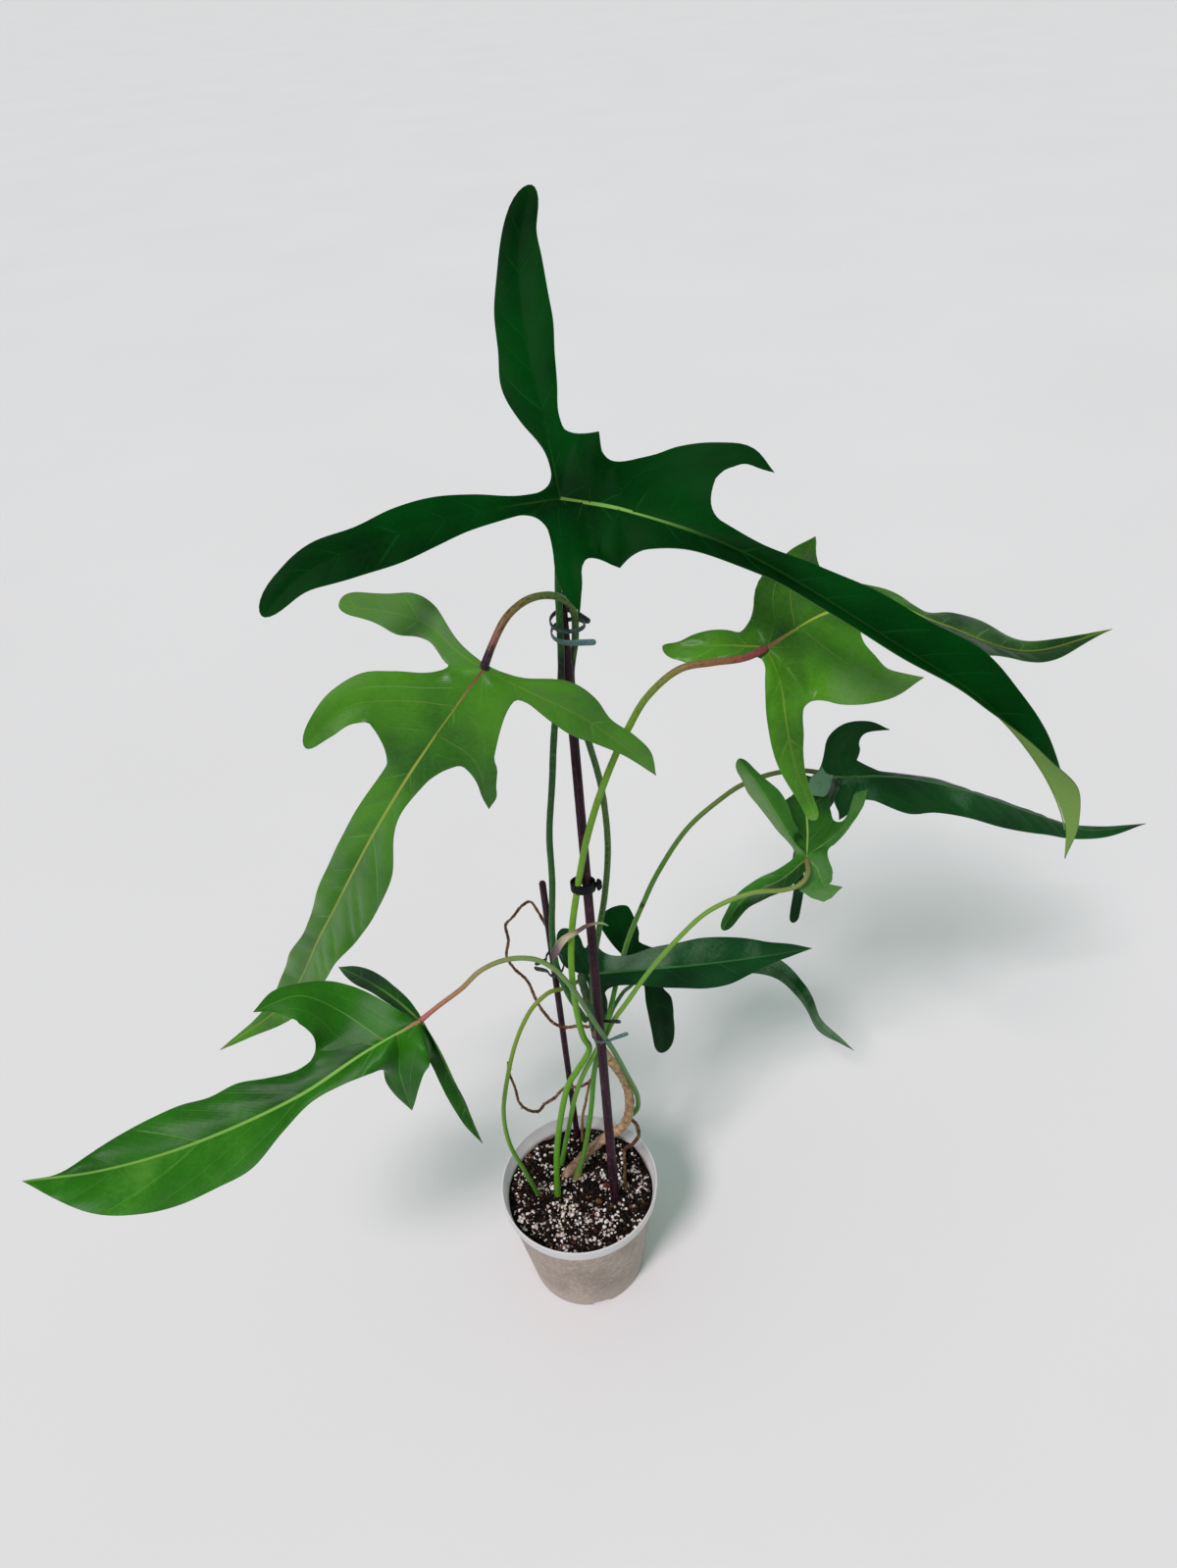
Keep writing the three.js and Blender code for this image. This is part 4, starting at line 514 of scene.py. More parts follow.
def leaf_paint(key):
    look = LEAF_LOOKS[key]
    paint = Paint(f"leaf_{key}")
    phase, out, edge = paint.parts(paint.attribute("vein"))
    share, under, tint = paint.parts(paint.attribute("zone"))
    rank, near_cut, _ = paint.parts(paint.attribute("rank"))
    cloud = paint.noise(paint.place(), 0.022, 4.0)
    fine = paint.noise(paint.place(), 0.5, 5.0, 0.6)
    # the tint lifts a lobe half towards pale or lowers it towards dark; on c, d and g it carries painted
    # shadow, light and sheen
    level = paint.math("ADD", paint.scaled(cloud, 1.3, -0.42), tint)
    level = paint.scaled(fine, 0.3, level)
    base = paint.ramp(level, [(0.05, look["dark"]), (0.6, look["light"]), (1.0, look["pale"])])

    # Fine side veins run between the main ones, which are thin lines that fade towards the edge.
    streaks = paint.math("SINE", paint.scaled(phase, 44.0, paint.times(fine, 5.0)))
    base = paint.mix(paint.scaled(streaks, 0.018, 0.02), base, look["vein"])
    line = vein_line(paint, look["veins"], phase, out, edge, near_cut)
    base = paint.mix(paint.times(line, 0.4), base, look["vein"])

    # The under face is paler, and its veins show.
    base = paint.mix(paint.times(under, 0.9), base, look["under"])
    base = paint.mix(paint.times(line, under, 0.4), base, look["rib"])

    # The midrib is a band that narrows and fades, with a foot in the colour of the stalk.
    wide = paint.scaled(share, -0.6 * look["line"], 0.95 * look["line"])
    band = paint.fall(out, wide, paint.math("ADD", wide, 0.5))
    fade = paint.fall(share, 0.3 * look["fade"][0], look["fade"][0], 0.95, look["fade"][1])
    foot = paint.fall(share, 0.0, 0.09)
    base = paint.mix(paint.times(band, rank, fade), base, paint.mix(foot, look["rib"], look["foot"]))
    base = paint.mix(paint.times(paint.fall(edge, 0.1, 0.6), 0.5), base, look["edge"])

    rough = paint.scaled(under, 0.2, paint.scaled(fine, 0.16, look["gloss"] - 0.06))
    relief = paint.scaled(streaks, 0.05, paint.scaled(line, -0.8, paint.times(fine, 0.3)))
    return paint.finish(base, rough, relief, 0.4, 0.5, look["shine"])


def vein_line(paint, spacing, phase, out, edge, near_cut):
    """How strongly a main side vein shows: a thin line, gone at the midrib, the edge and the cuts."""
    gap = paint.math("ABSOLUTE", paint.math("SUBTRACT", phase, paint.math("ROUND", phase)))
    line = paint.fall(gap, 0.1 / spacing, 1.0 / spacing)
    return paint.times(line, paint.rise(edge, 0.5, 7.0), paint.rise(out, 0.3, 1.5),
                       paint.fall(near_cut, 0.2, 0.8))


def stalk_paint(key):
    look = STALK_LOOKS[key]
    paint = Paint(f"stalk_{key}")
    grain = paint.noise(paint.attribute("bark"), 0.35, 4.0, 0.6)
    flecks = paint.rise(paint.noise(paint.grain(0.28), 1.5, 2.0), 0.56, 0.66, look["flecks"])
    base = paint.ramp(paint.share(), look["stops"])
    base = paint.mix(paint.rise(grain, 0.45, 0.8, 0.2), base, "7c9c50")
    base = paint.mix(flecks, base, "14220f")
    return paint.finish(base, paint.scaled(grain, 0.2, 0.3), grain, 0.2, 0.3, 0.18)


def bark_paint(name, dark, light, spot, scale=0.45, rough=0.75, lengthways=0.35, reach=0.5, shine=0.2):
    """Woody skins: two colours mixed along the grain, with spots of a third."""
    paint = Paint(name)
    cloud = paint.noise(paint.grain(lengthways), scale, 5.0, 0.65)
    spots = paint.noise(paint.attribute("bark"), scale * 0.55, 3.0)
    base = paint.mix(paint.rise(cloud, 0.35, 0.65), dark, light)
    base = paint.mix(paint.rise(spots, 0.55, 0.68, 0.75), base, spot)
    return paint.finish(base, paint.scaled(cloud, 0.2, rough - 0.1), cloud, 0.6, reach, shine)


def stem_paint():
    """The stem: green where it is young, then tan skin with scars, and redder near the mix."""
    paint = Paint("stem")
    cloud = paint.noise(paint.grain(0.5), 0.3, 5.0, 0.65)
    spots = paint.noise(paint.attribute("bark"), 0.16, 3.0)
    skin = paint.ramp(paint.share(), [(0.16, "1c3c1c"), (0.22, "94784c"), (0.6, "98784f"), (1, "886454")])
    light = paint.ramp(paint.share(), [(0.16, "2c5424"), (0.22, "c4a678"), (0.6, "c4a47c"), (1, "ac8c78")])
    base = paint.mix(paint.rise(cloud, 0.35, 0.65), skin, light)
    base = paint.mix(paint.rise(spots, 0.52, 0.66, 0.7), base, "6c4838")
    return paint.finish(base, paint.scaled(cloud, 0.2, 0.55), cloud, 0.7, 0.7)


def sheath_paint():
    paint = Paint("sheath")
    stripes = paint.noise(paint.grain(0.06), 1.6, 3.0)
    base = paint.ramp(paint.share(), [
        (0, "4c3a42"), (0.2, "685459"), (0.34, "a89c84"), (0.5, "c6bc94"), (0.6, "ac9c80"),
        (0.68, "64464e"), (0.76, "50343c"), (0.82, "7c6a54"), (0.9, "94b070"), (1, "84a864")])
    base = paint.mix(paint.rise(stripes, 0.45, 0.65, 0.45), base, "5a4a48")
    return paint.finish(base, paint.scaled(stripes, 0.3, 0.4), stripes, 0.4, 0.3)


def tie_paint(name):
    """The band of a tie: painted shade where it starts behind the stakes, grey green on its front tail."""
    paint = Paint(name)
    cloud = paint.noise(paint.attribute("bark"), 0.6, 3.0)
    # the dark start of the band is painted shade behind the stakes
    base = paint.ramp(paint.share(), TIE_COLOURS_AND_SHADE[name])
    base = paint.mix(paint.rise(cloud, 0.4, 0.75, 0.3), base, "7c9494")
    return paint.finish(base, paint.scaled(cloud, 0.2, 0.4), cloud, 0.15, 0.2, 0.25)


def clip_paint():
    paint = Paint("clip")
    cloud = paint.noise(paint.place(), 0.8, 3.0)
    base = paint.mix(cloud, "020203", "08080a")
    return paint.finish(base, paint.scaled(cloud, 0.2, 0.3), cloud, 0.1, 0.1, 0.12)


def frosted_paint():
    """Frosted plastic: milky where it is free, and warm grey with specks where the mix shows through."""
    paint = Paint("frosted")
    place = paint.place()
    height = paint.parts(place)[2]
    cloud = paint.noise(place, 0.03, 4.0)
    mottle = paint.noise(place, 0.22, 6.0, 0.8)
    specks = paint.noise(place, 0.6, 3.0, 0.6)
    behind = paint.mix(paint.rise(mottle, 0.36, 0.64), "988878", "bcaea0")
    behind = paint.mix(paint.rise(cloud, 0.42, 0.62, 0.5), behind, "84746a")
    behind = paint.mix(paint.fall(height, 8.0, 34.0, 0.6), behind, "c0b2a4")
    behind = paint.mix(paint.rise(specks, 0.58, 0.7, 0.75), behind, "e2dcd4")
    behind = paint.mix(paint.fall(specks, 0.3, 0.4, 0.6), behind, "6a5c50")
    filled = paint.fall(height, SOIL["top"] - 2.0, SOIL["top"] + 2.0)
    base = paint.mix(filled, paint.mix(mottle, "e2e0e0", "f0eeee"), behind)
    paint.finish(base, paint.scaled(mottle, 0.2, 0.3), mottle, 0.08, 0.2, 0.4)
    glow = paint.node("BsdfTranslucent", {"Color": paint.mix(filled, "f6f4f4", "a3968a")})
    through = paint.scaled(filled, -0.2, 0.4)
    mixed = paint.node("MixShader", {0: through, 1: paint.shader.outputs[0], 2: glow.outputs[0]})
    paint.feed(paint.nodes["Material Output"].inputs["Surface"], mixed.outputs[0])
    return paint.material


def soil_paint():
    paint = Paint("soil")
    lumps = paint.noise(paint.place(), 0.5, 5.0, 0.65)
    base = paint.mix(paint.rise(lumps, 0.35, 0.7), "050302", "1c130e")
    return paint.finish(base, 0.95, lumps, 0.8, 1.2, 0.1)


def grain_paint(name, colours, rough, reach):
    """Loose grains, each with its own share of the colours, and darker where dirt clings to them."""
    paint = Paint(name)
    tone = paint.parts(paint.attribute("tone"))[0]
    cloud = paint.noise(paint.place(), 1.1, 4.0)
    stops = [(i / (len(colours) - 1), code) for i, code in enumerate(colours)]
    base = paint.mix(paint.rise(cloud, 0.5, 0.75, 0.5), paint.ramp(tone, stops), "4a3a30")
    return paint.finish(base, rough, cloud, 0.5, reach, 0.2)


def floor_paint():
    paint = Paint("floor")
    base = paint.mix(paint.noise(paint.place(), 0.002, 3.0), "dddcda", "e3e2e0")
    return paint.finish(base, 0.6)


# Lines and meshes


def unit(vectors):
    vectors = np.asarray(vectors, float)
    return vectors / np.linalg.norm(vectors, axis=-1, keepdims=True)


def smooth_line(points, per=24):
    """A centripetal curve through the points, finely sampled."""
    points = [np.array(p, float) for p in points]
    if len(points) == 2:
        return np.linspace(points[0], points[1], per + 1)
    points = [2 * points[0] - points[1], *points, 2 * points[-1] - points[-2]]
    shares = np.linspace(0, 1, per, endpoint=False)[:, None]
    pieces = []
    for before, start, end, after in zip(points, points[1:], points[2:], points[3:]):
        d0, d1, d2 = (max(np.linalg.norm(b - a) ** 0.5, 1e-4)
                      for a, b in ((before, start), (start, end), (end, after)))
        t1 = ((start - before) / d0 - (end - before) / (d0 + d1) + (end - start) / d1) * d1
        t2 = ((end - start) / d1 - (after - start) / (d1 + d2) + (after - end) / d2) * d1
        square = (3 * (end - start) - 2 * t1 - t2) * shares ** 2
        cube = (2 * (start - end) + t1 + t2) * shares ** 3
        pieces.append(start + t1 * shares + square + cube)
    return np.vstack([*pieces, points[-2][None]])


def lengths_along(line):
    return np.r_[0, np.cumsum(np.linalg.norm(np.diff(line, axis=0), axis=1))]


def placed_at(station, stations, rows):
    """The row of three values at a station between those that the rows are given for."""
    return np.array([np.interp(station, stations, rows[:, k]) for k in range(3)])


def evenly(values, share):
    """The value at a share between 0 and 1 of an evenly spaced list."""
    return float(np.interp(share, np.linspace(0, 1, len(values)), values)) if len(values) > 1 else values[0]


def smoothly(stations, values, at):
    """A smooth curve through values at rising stations."""
    i = int(np.clip(np.searchsorted(stations, at) - 1, 0, len(stations) - 2))

    def slope(k):
        low, high = max(k - 1, 0), min(k + 1, len(stations) - 1)
        return (values[high] - values[low]) / (stations[high] - stations[low])

    span = stations[i + 1] - stations[i]
    s = (at - stations[i]) / span
    ends = (2 * s ** 3 - 3 * s ** 2 + 1) * values[i] + (3 * s ** 2 - 2 * s ** 3) * values[i + 1]
    slopes = (s ** 3 - 2 * s ** 2 + s) * slope(i) + (s ** 3 - s ** 2) * slope(i + 1)
    return ends + span * slopes


def ease(value, low, high):
    """Nothing up to low, 1 from high on, and a smooth run between them."""
    s = np.clip((value - low) / (high - low), 0, 1)
    return s * s * (3 - 2 * s)


def carried(tangents, up):
    """One up direction carried along a line, square to it all the way."""
    ups = []
    for tangent in tangents:
        up = up - np.dot(up, tangent) * tangent
        up = up / np.linalg.norm(up)
        ups.append(up)
    return np.array(ups)


def around(count, start=0.0):
    """The angles of points evenly spaced round a circle."""
    return [2 * math.pi * (k + start) / count for k in range(count)]


def lofted(rings, sides, first=0):
    """The quads between rings of points that follow one another."""
    faces = []
    for r in range(1, rings):
        for j in range(sides):
            a, b = first + (r - 1) * sides + j, first + (r - 1) * sides + (j + 1) % sides
            faces.append((a, b, b + sides, a + sides))
    return faces


def mesh_piece(name, points, faces, material, attributes=(), crease=40, replaces=()):
    """A smooth shaded object in the frame. attributes are (name, domain, rows of three numbers)."""
    mesh = bpy.data.meshes.new(name)
    mesh.from_pydata((np.asarray(points, float) * MM).tolist(), [], [tuple(map(int, f)) for f in faces])
    mesh.materials.append(material)
    for label, domain, rows in attributes:
        made = mesh.attributes.new(label, "FLOAT_VECTOR", domain)
        made.data.foreach_set("vector", np.asarray(rows, np.float32).ravel())
    mesh.shade_smooth()
    mesh.set_sharp_from_angle(angle=math.radians(crease))
    piece = bpy.data.objects.new(name, mesh)
    bpy.context.scene.collection.objects.link(piece)
    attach(piece, "root")
    if replaces:
        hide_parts(*replaces)
    return piece


# Leaves


class Rib:
    """A rib with a frame carried along it: along the rib, across to the left, and up from the blade."""

    def __init__(self, points, up, twist):
        self.line = smooth_line(points)
        lengths = lengths_along(self.line)
        self.length = lengths[-1]
        self.shares = lengths / self.length
        self.along = unit(np.gradient(self.line, lengths, axis=0))
        ups = carried(self.along, up)
        lefts = np.cross(ups, self.along)
        turns = np.radians([evenly(twist, share) for share in self.shares])[:, None]
        self.ups = ups * np.cos(turns) + lefts * np.sin(turns)
        self.lefts = lefts * np.cos(turns) - ups * np.sin(turns)

    def frame(self, share):
        """The point at a share of the rib's length, and the three directions there."""
        ways = (placed_at(share, self.shares, rows) for rows in (self.along, self.lefts, self.ups))
        return placed_at(share, self.shares, self.line), *(unit(way) for way in ways)


class Blade:
    """A blade's surface as spokes from its ribs to its edge, measured from the foot of its midrib."""

    def __init__(self, key):
        leaf = LEAVES[key]
        self.key = key
        self.look = LEAF_LOOKS[key]
        self.at = np.array(leaf["at"], float)
        self.lobes = leaf["lobes"]
        midrib = Rib([(0, 0, 0), *self.lobes[0]["rib"]], unit(leaf["faces"]), self.lobes[0]["twist"])
        self.root = midrib.frame(0)
        self.ribs = [midrib]
        for item in self.lobes[1:]:
            start, _, _, start_up = midrib.frame(item["start"])
            facing = start_up if item["faces"] is None else unit(item["faces"])
            self.ribs.append(Rib([start, *item["rib"]], facing, item["twist"]))
        self.halves = [1 if np.dot(rib.line.mean(axis=0), self.root[2]) > 0 else -1 for rib in self.ribs]

    def notch(self, i):
        """The bottom of the cut between lobe i and the next one to its left."""
        degrees, distance = self.lobes[i % len(self.lobes)]["notch"]
        _, along, left, _ = self.root
        turn = math.radians(degrees)
        return distance * (math.cos(turn) * along + math.sin(turn) * left)

    def start(self, i, side):
        """Where a rib's half blade begins: at its foot, or on the midrib where the next rib leaves."""
        return 0.0 if i else self.lobes[1 if side > 0 else -1]["start"]

    def leaves_midrib(self, i):
        """Whether a lobe starts on the midrib, past the stalk."""
        return i > 0 and self.lobes[i]["start"] > 0

    def edge(self, i, side):
        """How the edge runs beside rib i. Up to the first station, square to the notch, it is the notch."""
        item = self.lobes[i]
        notch = self.notch(i if side > 0 else i - 1)
        first = self.start(i, side)
        point, along, left, up = self.ribs[i].frame(first)
        while np.dot(notch - point, along) > 0:
            first += 0.005
            point, along, left, up = self.ribs[i].frame(first)
        widths = item["left" if side > 0 else "right"]
        lift = item["lift"][0 if side > 0 else 1]
        reach = notch - point
        run = dict(notch=notch, first=first, stations=[first], ahead=[np.dot(reach, along)],
                   out=[np.dot(reach, left) * side], rise=[np.dot(reach, up)])
        for k, width in enumerate(widths, 1):
            share = k / (len(widths) + 1)
            raised = math.radians(evenly(lift, share))
            run["stations"].append(first + (1 - first) * share)
            run["ahead"].append(0)
            run["out"].append(width * math.cos(raised))
            run["rise"].append(width * math.sin(raised))
        run["stations"].append(1)
        run["ahead"].append(0)
        for name in ("out", "rise"):
            run[name].append(run[name][-1] * 0.9 if item["blunt"] else 0)
        return run

    def rounding(self, i, share):
        """How much of its width a lobe keeps where its tip is rounded off."""
        blunt = self.lobes[i]["blunt"]
        left = min((1 - share) * self.ribs[i].length / blunt, 1) if blunt else 1
        return math.sqrt(1 - (1 - left) ** 2)

    def tint(self, i, side, share):
        halves = TINTS_AND_PAINTED_LIGHT.get((self.key, i), ((0,), (0,)))
        return evenly(halves[0 if side > 0 else 1], share)

    def rank(self, i):
        """How strongly a rib and its side veins show, against the midrib."""
        return 1.0 if i == 0 else self.look["side"]

    def rib_size(self, i):
        """How broad a rib shows, against the midrib."""
        return 1.0 if i == 0 else 0.35 if self.leaves_midrib(i) else 0.65

    def side_vein(self, i, ahead, out, across):
        """The place among the side veins: whole numbers are veins, which bend forward to the edge. In
        the lobes along the midrib one runs on each side of the rib, half way to the edge."""
        if self.leaves_midrib(i):
            return 2.0 * across
        lead = self.look["lead"] * out + VEINS["bend"] * out ** 2
        phase = (ahead - lead) / self.look["veins"] + VEINS["shift"] * i
        return phase + VEINS["uneven"] * math.sin(2.3 * phase + i)

    def end(self, i, side, share, run):
        """Where a spoke meets the edge."""
        point, along, left, up = self.ribs[i].frame(share)
        if share == 1:
            return point
        if share <= run["first"]:
            return run["notch"]
        ahead, out, rise = (smoothly(run["stations"], run[way], share) for way in ("ahead", "out", "rise"))
        return point + ahead * along + self.rounding(i, share) * (side * out * left + rise * up)

    def wave(self, i, side, share):
        """How strongly the edge is waved up or down at a spoke: two sines of different lengths."""
        ahead = share * self.ribs[i].length
        long, short = WAVE_LENGTHS
        return math.sin(ahead / long + i * 2.1 + side) + 0.5 * math.sin(ahead / short + i)

    def spoke(self, i, side, share, run):
        """Points from the rib out to the edge, and for each its vein, zone and lift values."""
        rib = self.ribs[i]
        point, along, _, up = rib.frame(share)
        way = self.end(i, side, share, run) - point
        reach = np.linalg.norm(way)
        in_notch = share <= run["first"]
        raised = self.root[3] if in_notch else up
        near_notch = 1 - ease((share - run["first"]) * rib.length, 0, FLAT_AT_CUT)
        tip = ease((1 - share) * rib.length, 0, FLAT_AT_TIP)
        wave = 0.0 if in_notch else self.look["wave"] * self.wave(i, side, share) * (1 - near_notch) * tip
        swell = self.look["puff"] * ease(share - self.start(i, side), 0, SWELLING["start"]) * tip
        if self.leaves_midrib(i):
            swell = 0.0
        points, veins, zones, lifts = [], [], [], []
        for across in row_shares(reach):
            place = point + way * across
            gap = place - point
            ahead = np.dot(gap, along)
            out = np.linalg.norm(gap - ahead * along)
            phase = self.side_vein(i, share * rib.length + ahead, out, across)
            puffed = abs(math.sin(math.pi * phase)) ** SWELLING["power"] - SWELLING["level"]
            bulge = math.sin(math.pi * across) ** 0.6 * ease(out, SWELLING["near"], SWELLING["far"])
            groove = GROOVE["depth"] * self.rib_size(i) * (1 - ease(out, 0, GROOVE["reach"])) * tip
            points.append(place + raised * ARCH * reach * math.sin(math.pi * across))
            veins.append((phase, np.linalg.norm(gap) / self.rib_size(i), reach * (1 - across)))
            zones.append((share, self.halves[i] if i else side, self.tint(i, side, share)))
            height = swell * puffed * bulge * (1 - near_notch) + wave * across ** 2 - groove
            lifts.append((height, near_notch * across, self.rank(i)))
        return points, veins, zones, lifts

    def stations(self, i):
        """The shares at which spokes leave a rib: even steps, closer ones at a round tip, and the feet."""
        length, blunt = self.ribs[i].length, self.lobes[i]["blunt"]
        even = np.linspace(0, 1, max(3, round(length / LEAF_STEP)) + 1)
        round_tip = [1 - blunt / length * (1 - math.cos(turn)) for turn in np.linspace(0, math.pi / 2, 7)]
        kept = [s for s in even if s < round_tip[-1]] + round_tip if blunt else list(even)
        feet = {item["start"] for item in self.lobes} if i == 0 else {0.0}
        return sorted(feet | {s for s in kept if min(abs(s - foot) for foot in feet) * length > 0.8})

    def between(self, i, low, high):
        return [s for s in self.stations(i) if low <= s <= high]

    def runs(self, i):
        """Runs of spokes from the tip of lobe i, down its left side and up the next lobe's right side."""
        following = (i + 1) % len(self.lobes)
        down, up = self.edge(i, 1), self.edge(following, -1)
        yield [self.spoke(i, 1, s, down) for s in self.between(i, self.start(i, 1), 1)[::-1]]
        feet = [self.lobes[k]["start"] for k in (i, following)]
        if i and following and feet[0] != feet[1]:
            flat = dict(down, first=1)
            side = 1 if feet[1] < feet[0] else -1
            yield [self.spoke(0, side, s, flat) for s in self.between(0, min(feet), max(feet))[::-side]]
        start = self.start(following, -1)
        yield [self.spoke(following, -1, s, up) for s in self.between(following, start, 1)]

    def surface(self):
        """The middle surface: points, triangles, and vein, zone and lift values for every point."""
        values = [], [], [], []
        triangles = []
        across = LEAF_ROWS + 1
        for run in (run for i in range(len(self.lobes)) for run in self.runs(i)):
            first = len(values[0])
            for spoke in run:
                for rows, more in zip(values, spoke):
                    rows.extend(more)
            for s in range(1, len(run)):
                for k in range(LEAF_ROWS):
                    new, old = first + s * across + k, first + (s - 1) * across + k
                    triangles += [(new, old, old + 1), (new, old + 1, new + 1)]
        points, veins, zones, lifts = (np.array(rows) for rows in values)
        return points, triangles, veins, zones, lifts


def row_shares(reach):
    """Where the points of a spoke lie: two close to the rib, and the others evenly on to the edge."""
    near = [0.0, min(0.9 / max(reach, 1e-6), 0.08), min(2.4 / max(reach, 1e-6), 0.2)]
    return [*near[:2], *np.linspace(near[2], 1, LEAF_ROWS - 1)]


def welded(points, triangles, reach=0.02):
    """The points that lie on one another joined: new indices, and the triangles that are left."""
    tree = KDTree(len(points))
    for i, point in enumerate(points):
        tree.insert(point, i)
    tree.balance()
    same = list(range(len(points)))
    for i, point in enumerate(points):
        if same[i] == i:
            for _, j, _ in tree.find_range(point, reach):
                if j > i and same[j] == j:
                    same[j] = i
    kept = [t for t in triangles if len({same[v] for v in t}) == 3]
    return same, kept


def normals_of(points, faces):
    flat = np.cross(points[faces[:, 1]] - points[faces[:, 0]], points[faces[:, 2]] - points[faces[:, 0]])
    normals = np.zeros_like(points)
    for k in range(3):
        np.add.at(normals, faces[:, k], flat)
    return unit(normals + 1e-12)


def sides_of(faces):
    """The three sides of each triangle, as pairs of points."""
    return np.vstack([faces[:, [0, 1]], faces[:, [1, 2]], faces[:, [2, 0]]])


def open_edges_of(faces):
    """The edges with a face on one side only, each with its place in the list of faces and corners."""
    found = {}
    for f, face in enumerate(faces):
        for k in range(3):
            a, b = int(face[k]), int(face[(k + 1) % 3])
            if found.pop((b, a), None) is None:
                found[(a, b)] = (f, k)
    return found


def smoothed(points, faces, rim, notched, held, rounds=20):
    """The surface with its folds evened out: inner points move across it, and the edge only near cuts.
    The held points stay where they are."""
    pairs = np.unique(np.sort(sides_of(faces), axis=1), axis=0)
    edge = np.zeros(len(points), bool)
    edge[np.array(rim).ravel()] = True
    inner = pairs[~(edge[pairs[:, 0]] & edge[pairs[:, 1]])]
    links = np.vstack([np.array(rim), inner])
    for _ in range(rounds):
        total, count = np.zeros_like(points), np.zeros(len(points))
        for a, b in ((0, 1), (1, 0)):
            used = ~edge[links[:, a]]
            used[:len(rim)] = True
            np.add.at(total, links[used, a], points[links[used, b]])
            np.add.at(count, links[used, a], 1)
        pull = total / np.maximum(count, 1)[:, None] - points
        normals = normals_of(points, faces)
        across = normals * np.sum(pull * normals, axis=1, keepdims=True)
        strength = np.where(edge | held, 0.0, 0.5)[:, None]
        points = points + across * strength * (1 - notched[:, None]) + pull * 0.5 * notched[:, None]
    return points


def evened(faces, tints, halves, rounds=8):
    """The tints of all corners, blended over each half of the blade but not across its midrib."""
    made = np.zeros(faces.shape)
    size = faces.max() + 1
    for half in (-1, 1):
        part = faces[halves == half]
        level, count = np.zeros(size), np.zeros(size)
        np.add.at(level, part, tints[halves == half])
        np.add.at(count, part, 1)
        level /= np.maximum(count, 1)
        pairs = sides_of(part)
        for _ in range(rounds):
            total, count = level.copy(), np.ones(size)
            for a, b in ((0, 1), (1, 0)):
                np.add.at(total, pairs[:, a], level[pairs[:, b]])
                np.add.at(count, pairs[:, a], 1)
            level = total / count
        made[halves == half] = level[part]
    return made


def blade_body(blade):
    """A blade's two faces and its rim: points, faces, and vein, zone and rank values for each corner."""
    points, triangles, veins, zones, lifts = blade.surface()
    same, triangles = welded(points, triangles)
    corners = np.array(triangles)
    used = sorted({same[v] for t in triangles for v in t})
    number = {v: n for n, v in enumerate(used)}
    faces = np.array([[number[same[v]] for v in t] for t in triangles])
    rim_edges = open_edges_of(faces)
    on_midrib = {same[v] for v in range(len(points)) if veins[v][1] == 0 and lifts[v][2] == 1}
    held = np.array([v in on_midrib for v in used])
    places = smoothed(points[used], faces, list(rim_edges), ease(lifts[used][:, 1], 0.3, 1.0), held)
    places = places + normals_of(places, faces) * lifts[used][:, :1]
    across = veins[used][:, 1] / (veins[used][:, 1] + veins[used][:, 2] + 1e-6)
    thick = (HALF_THICK[0] + (HALF_THICK[1] - HALF_THICK[0]) * across)[:, None]
    half = normals_of(places, faces) * thick
    rim, rim_corners = [], []
    count = len(places)
    for (a, b), (f, k) in rim_edges.items():
        corner_a, corner_b = corners[f][k], corners[f][(k + 1) % 3]
        rim += [(b, a, a + count), (b, a + count, b + count)]
        rim_corners += [(corner_b, corner_a, corner_a), (corner_b, corner_a, corner_b)]
    order = np.vstack([corners, corners[:, ::-1], np.array(rim_corners)]).ravel()
    tints = evened(faces, zones[corners][:, :, 2], zones[corners[:, 0]][:, 1])
    corner_zones = zones[order]
    corner_zones[:, 1] = np.repeat([0.0, 1.0, 0.5], [3 * len(faces), 3 * len(faces), 3 * len(rim)])
    corner_zones[:2 * corners.size, 2] = np.vstack([tints, tints[:, ::-1]]).ravel()
    ranks = np.zeros_like(corner_zones)
    ranks[:, :2] = lifts[order][:, [2, 1]]
    all_faces = [*faces.tolist(), *(faces[:, ::-1] + count).tolist(), *rim]
    return np.vstack([places + half, places - half]), all_faces, veins[order], corner_zones, ranks


def ridges(blade, sides=8):
    """Half round ridges under the long ribs, which taper to the tips: points, faces and corner values."""
    points, faces, zones = [], [], []
    for i, rib in enumerate(blade.ribs):
        if blade.leaves_midrib(i):
            continue
        thick, depth = RIDGES["midrib"], 1.0 - blade.look.get("raised", 0)
        if i:
            thick, depth = RIDGES["others"], RIDGES["depth"]
        shares = np.linspace(0, RIDGES["end"], max(4, round(rib.length / 4)))
        first = len(points)
        for share in shares:
            point, _, left, up = rib.frame(share)
            radius = thick * (1 - RIDGES["loss"] * share)
            centre = point - up * (depth + 0.45 * radius)
            points += [centre + radius * (math.cos(turn) * left + math.sin(turn) * up)
                       for turn in around(sides, 0.5)]
        last = len(points) - sides
        more = [(a, d, c, b) for a, b, c, d in lofted(len(shares), sides, first)]
        more += [tuple(range(first, first + sides)), tuple(range(last, last + sides))[::-1]]
        zones += [(shares[(v - first) // sides], 1, 0) for face in more for v in face]
        faces += more
    return np.array(points), faces, np.tile([0.5, 0, 9], (len(zones), 1)), np.array(zones)


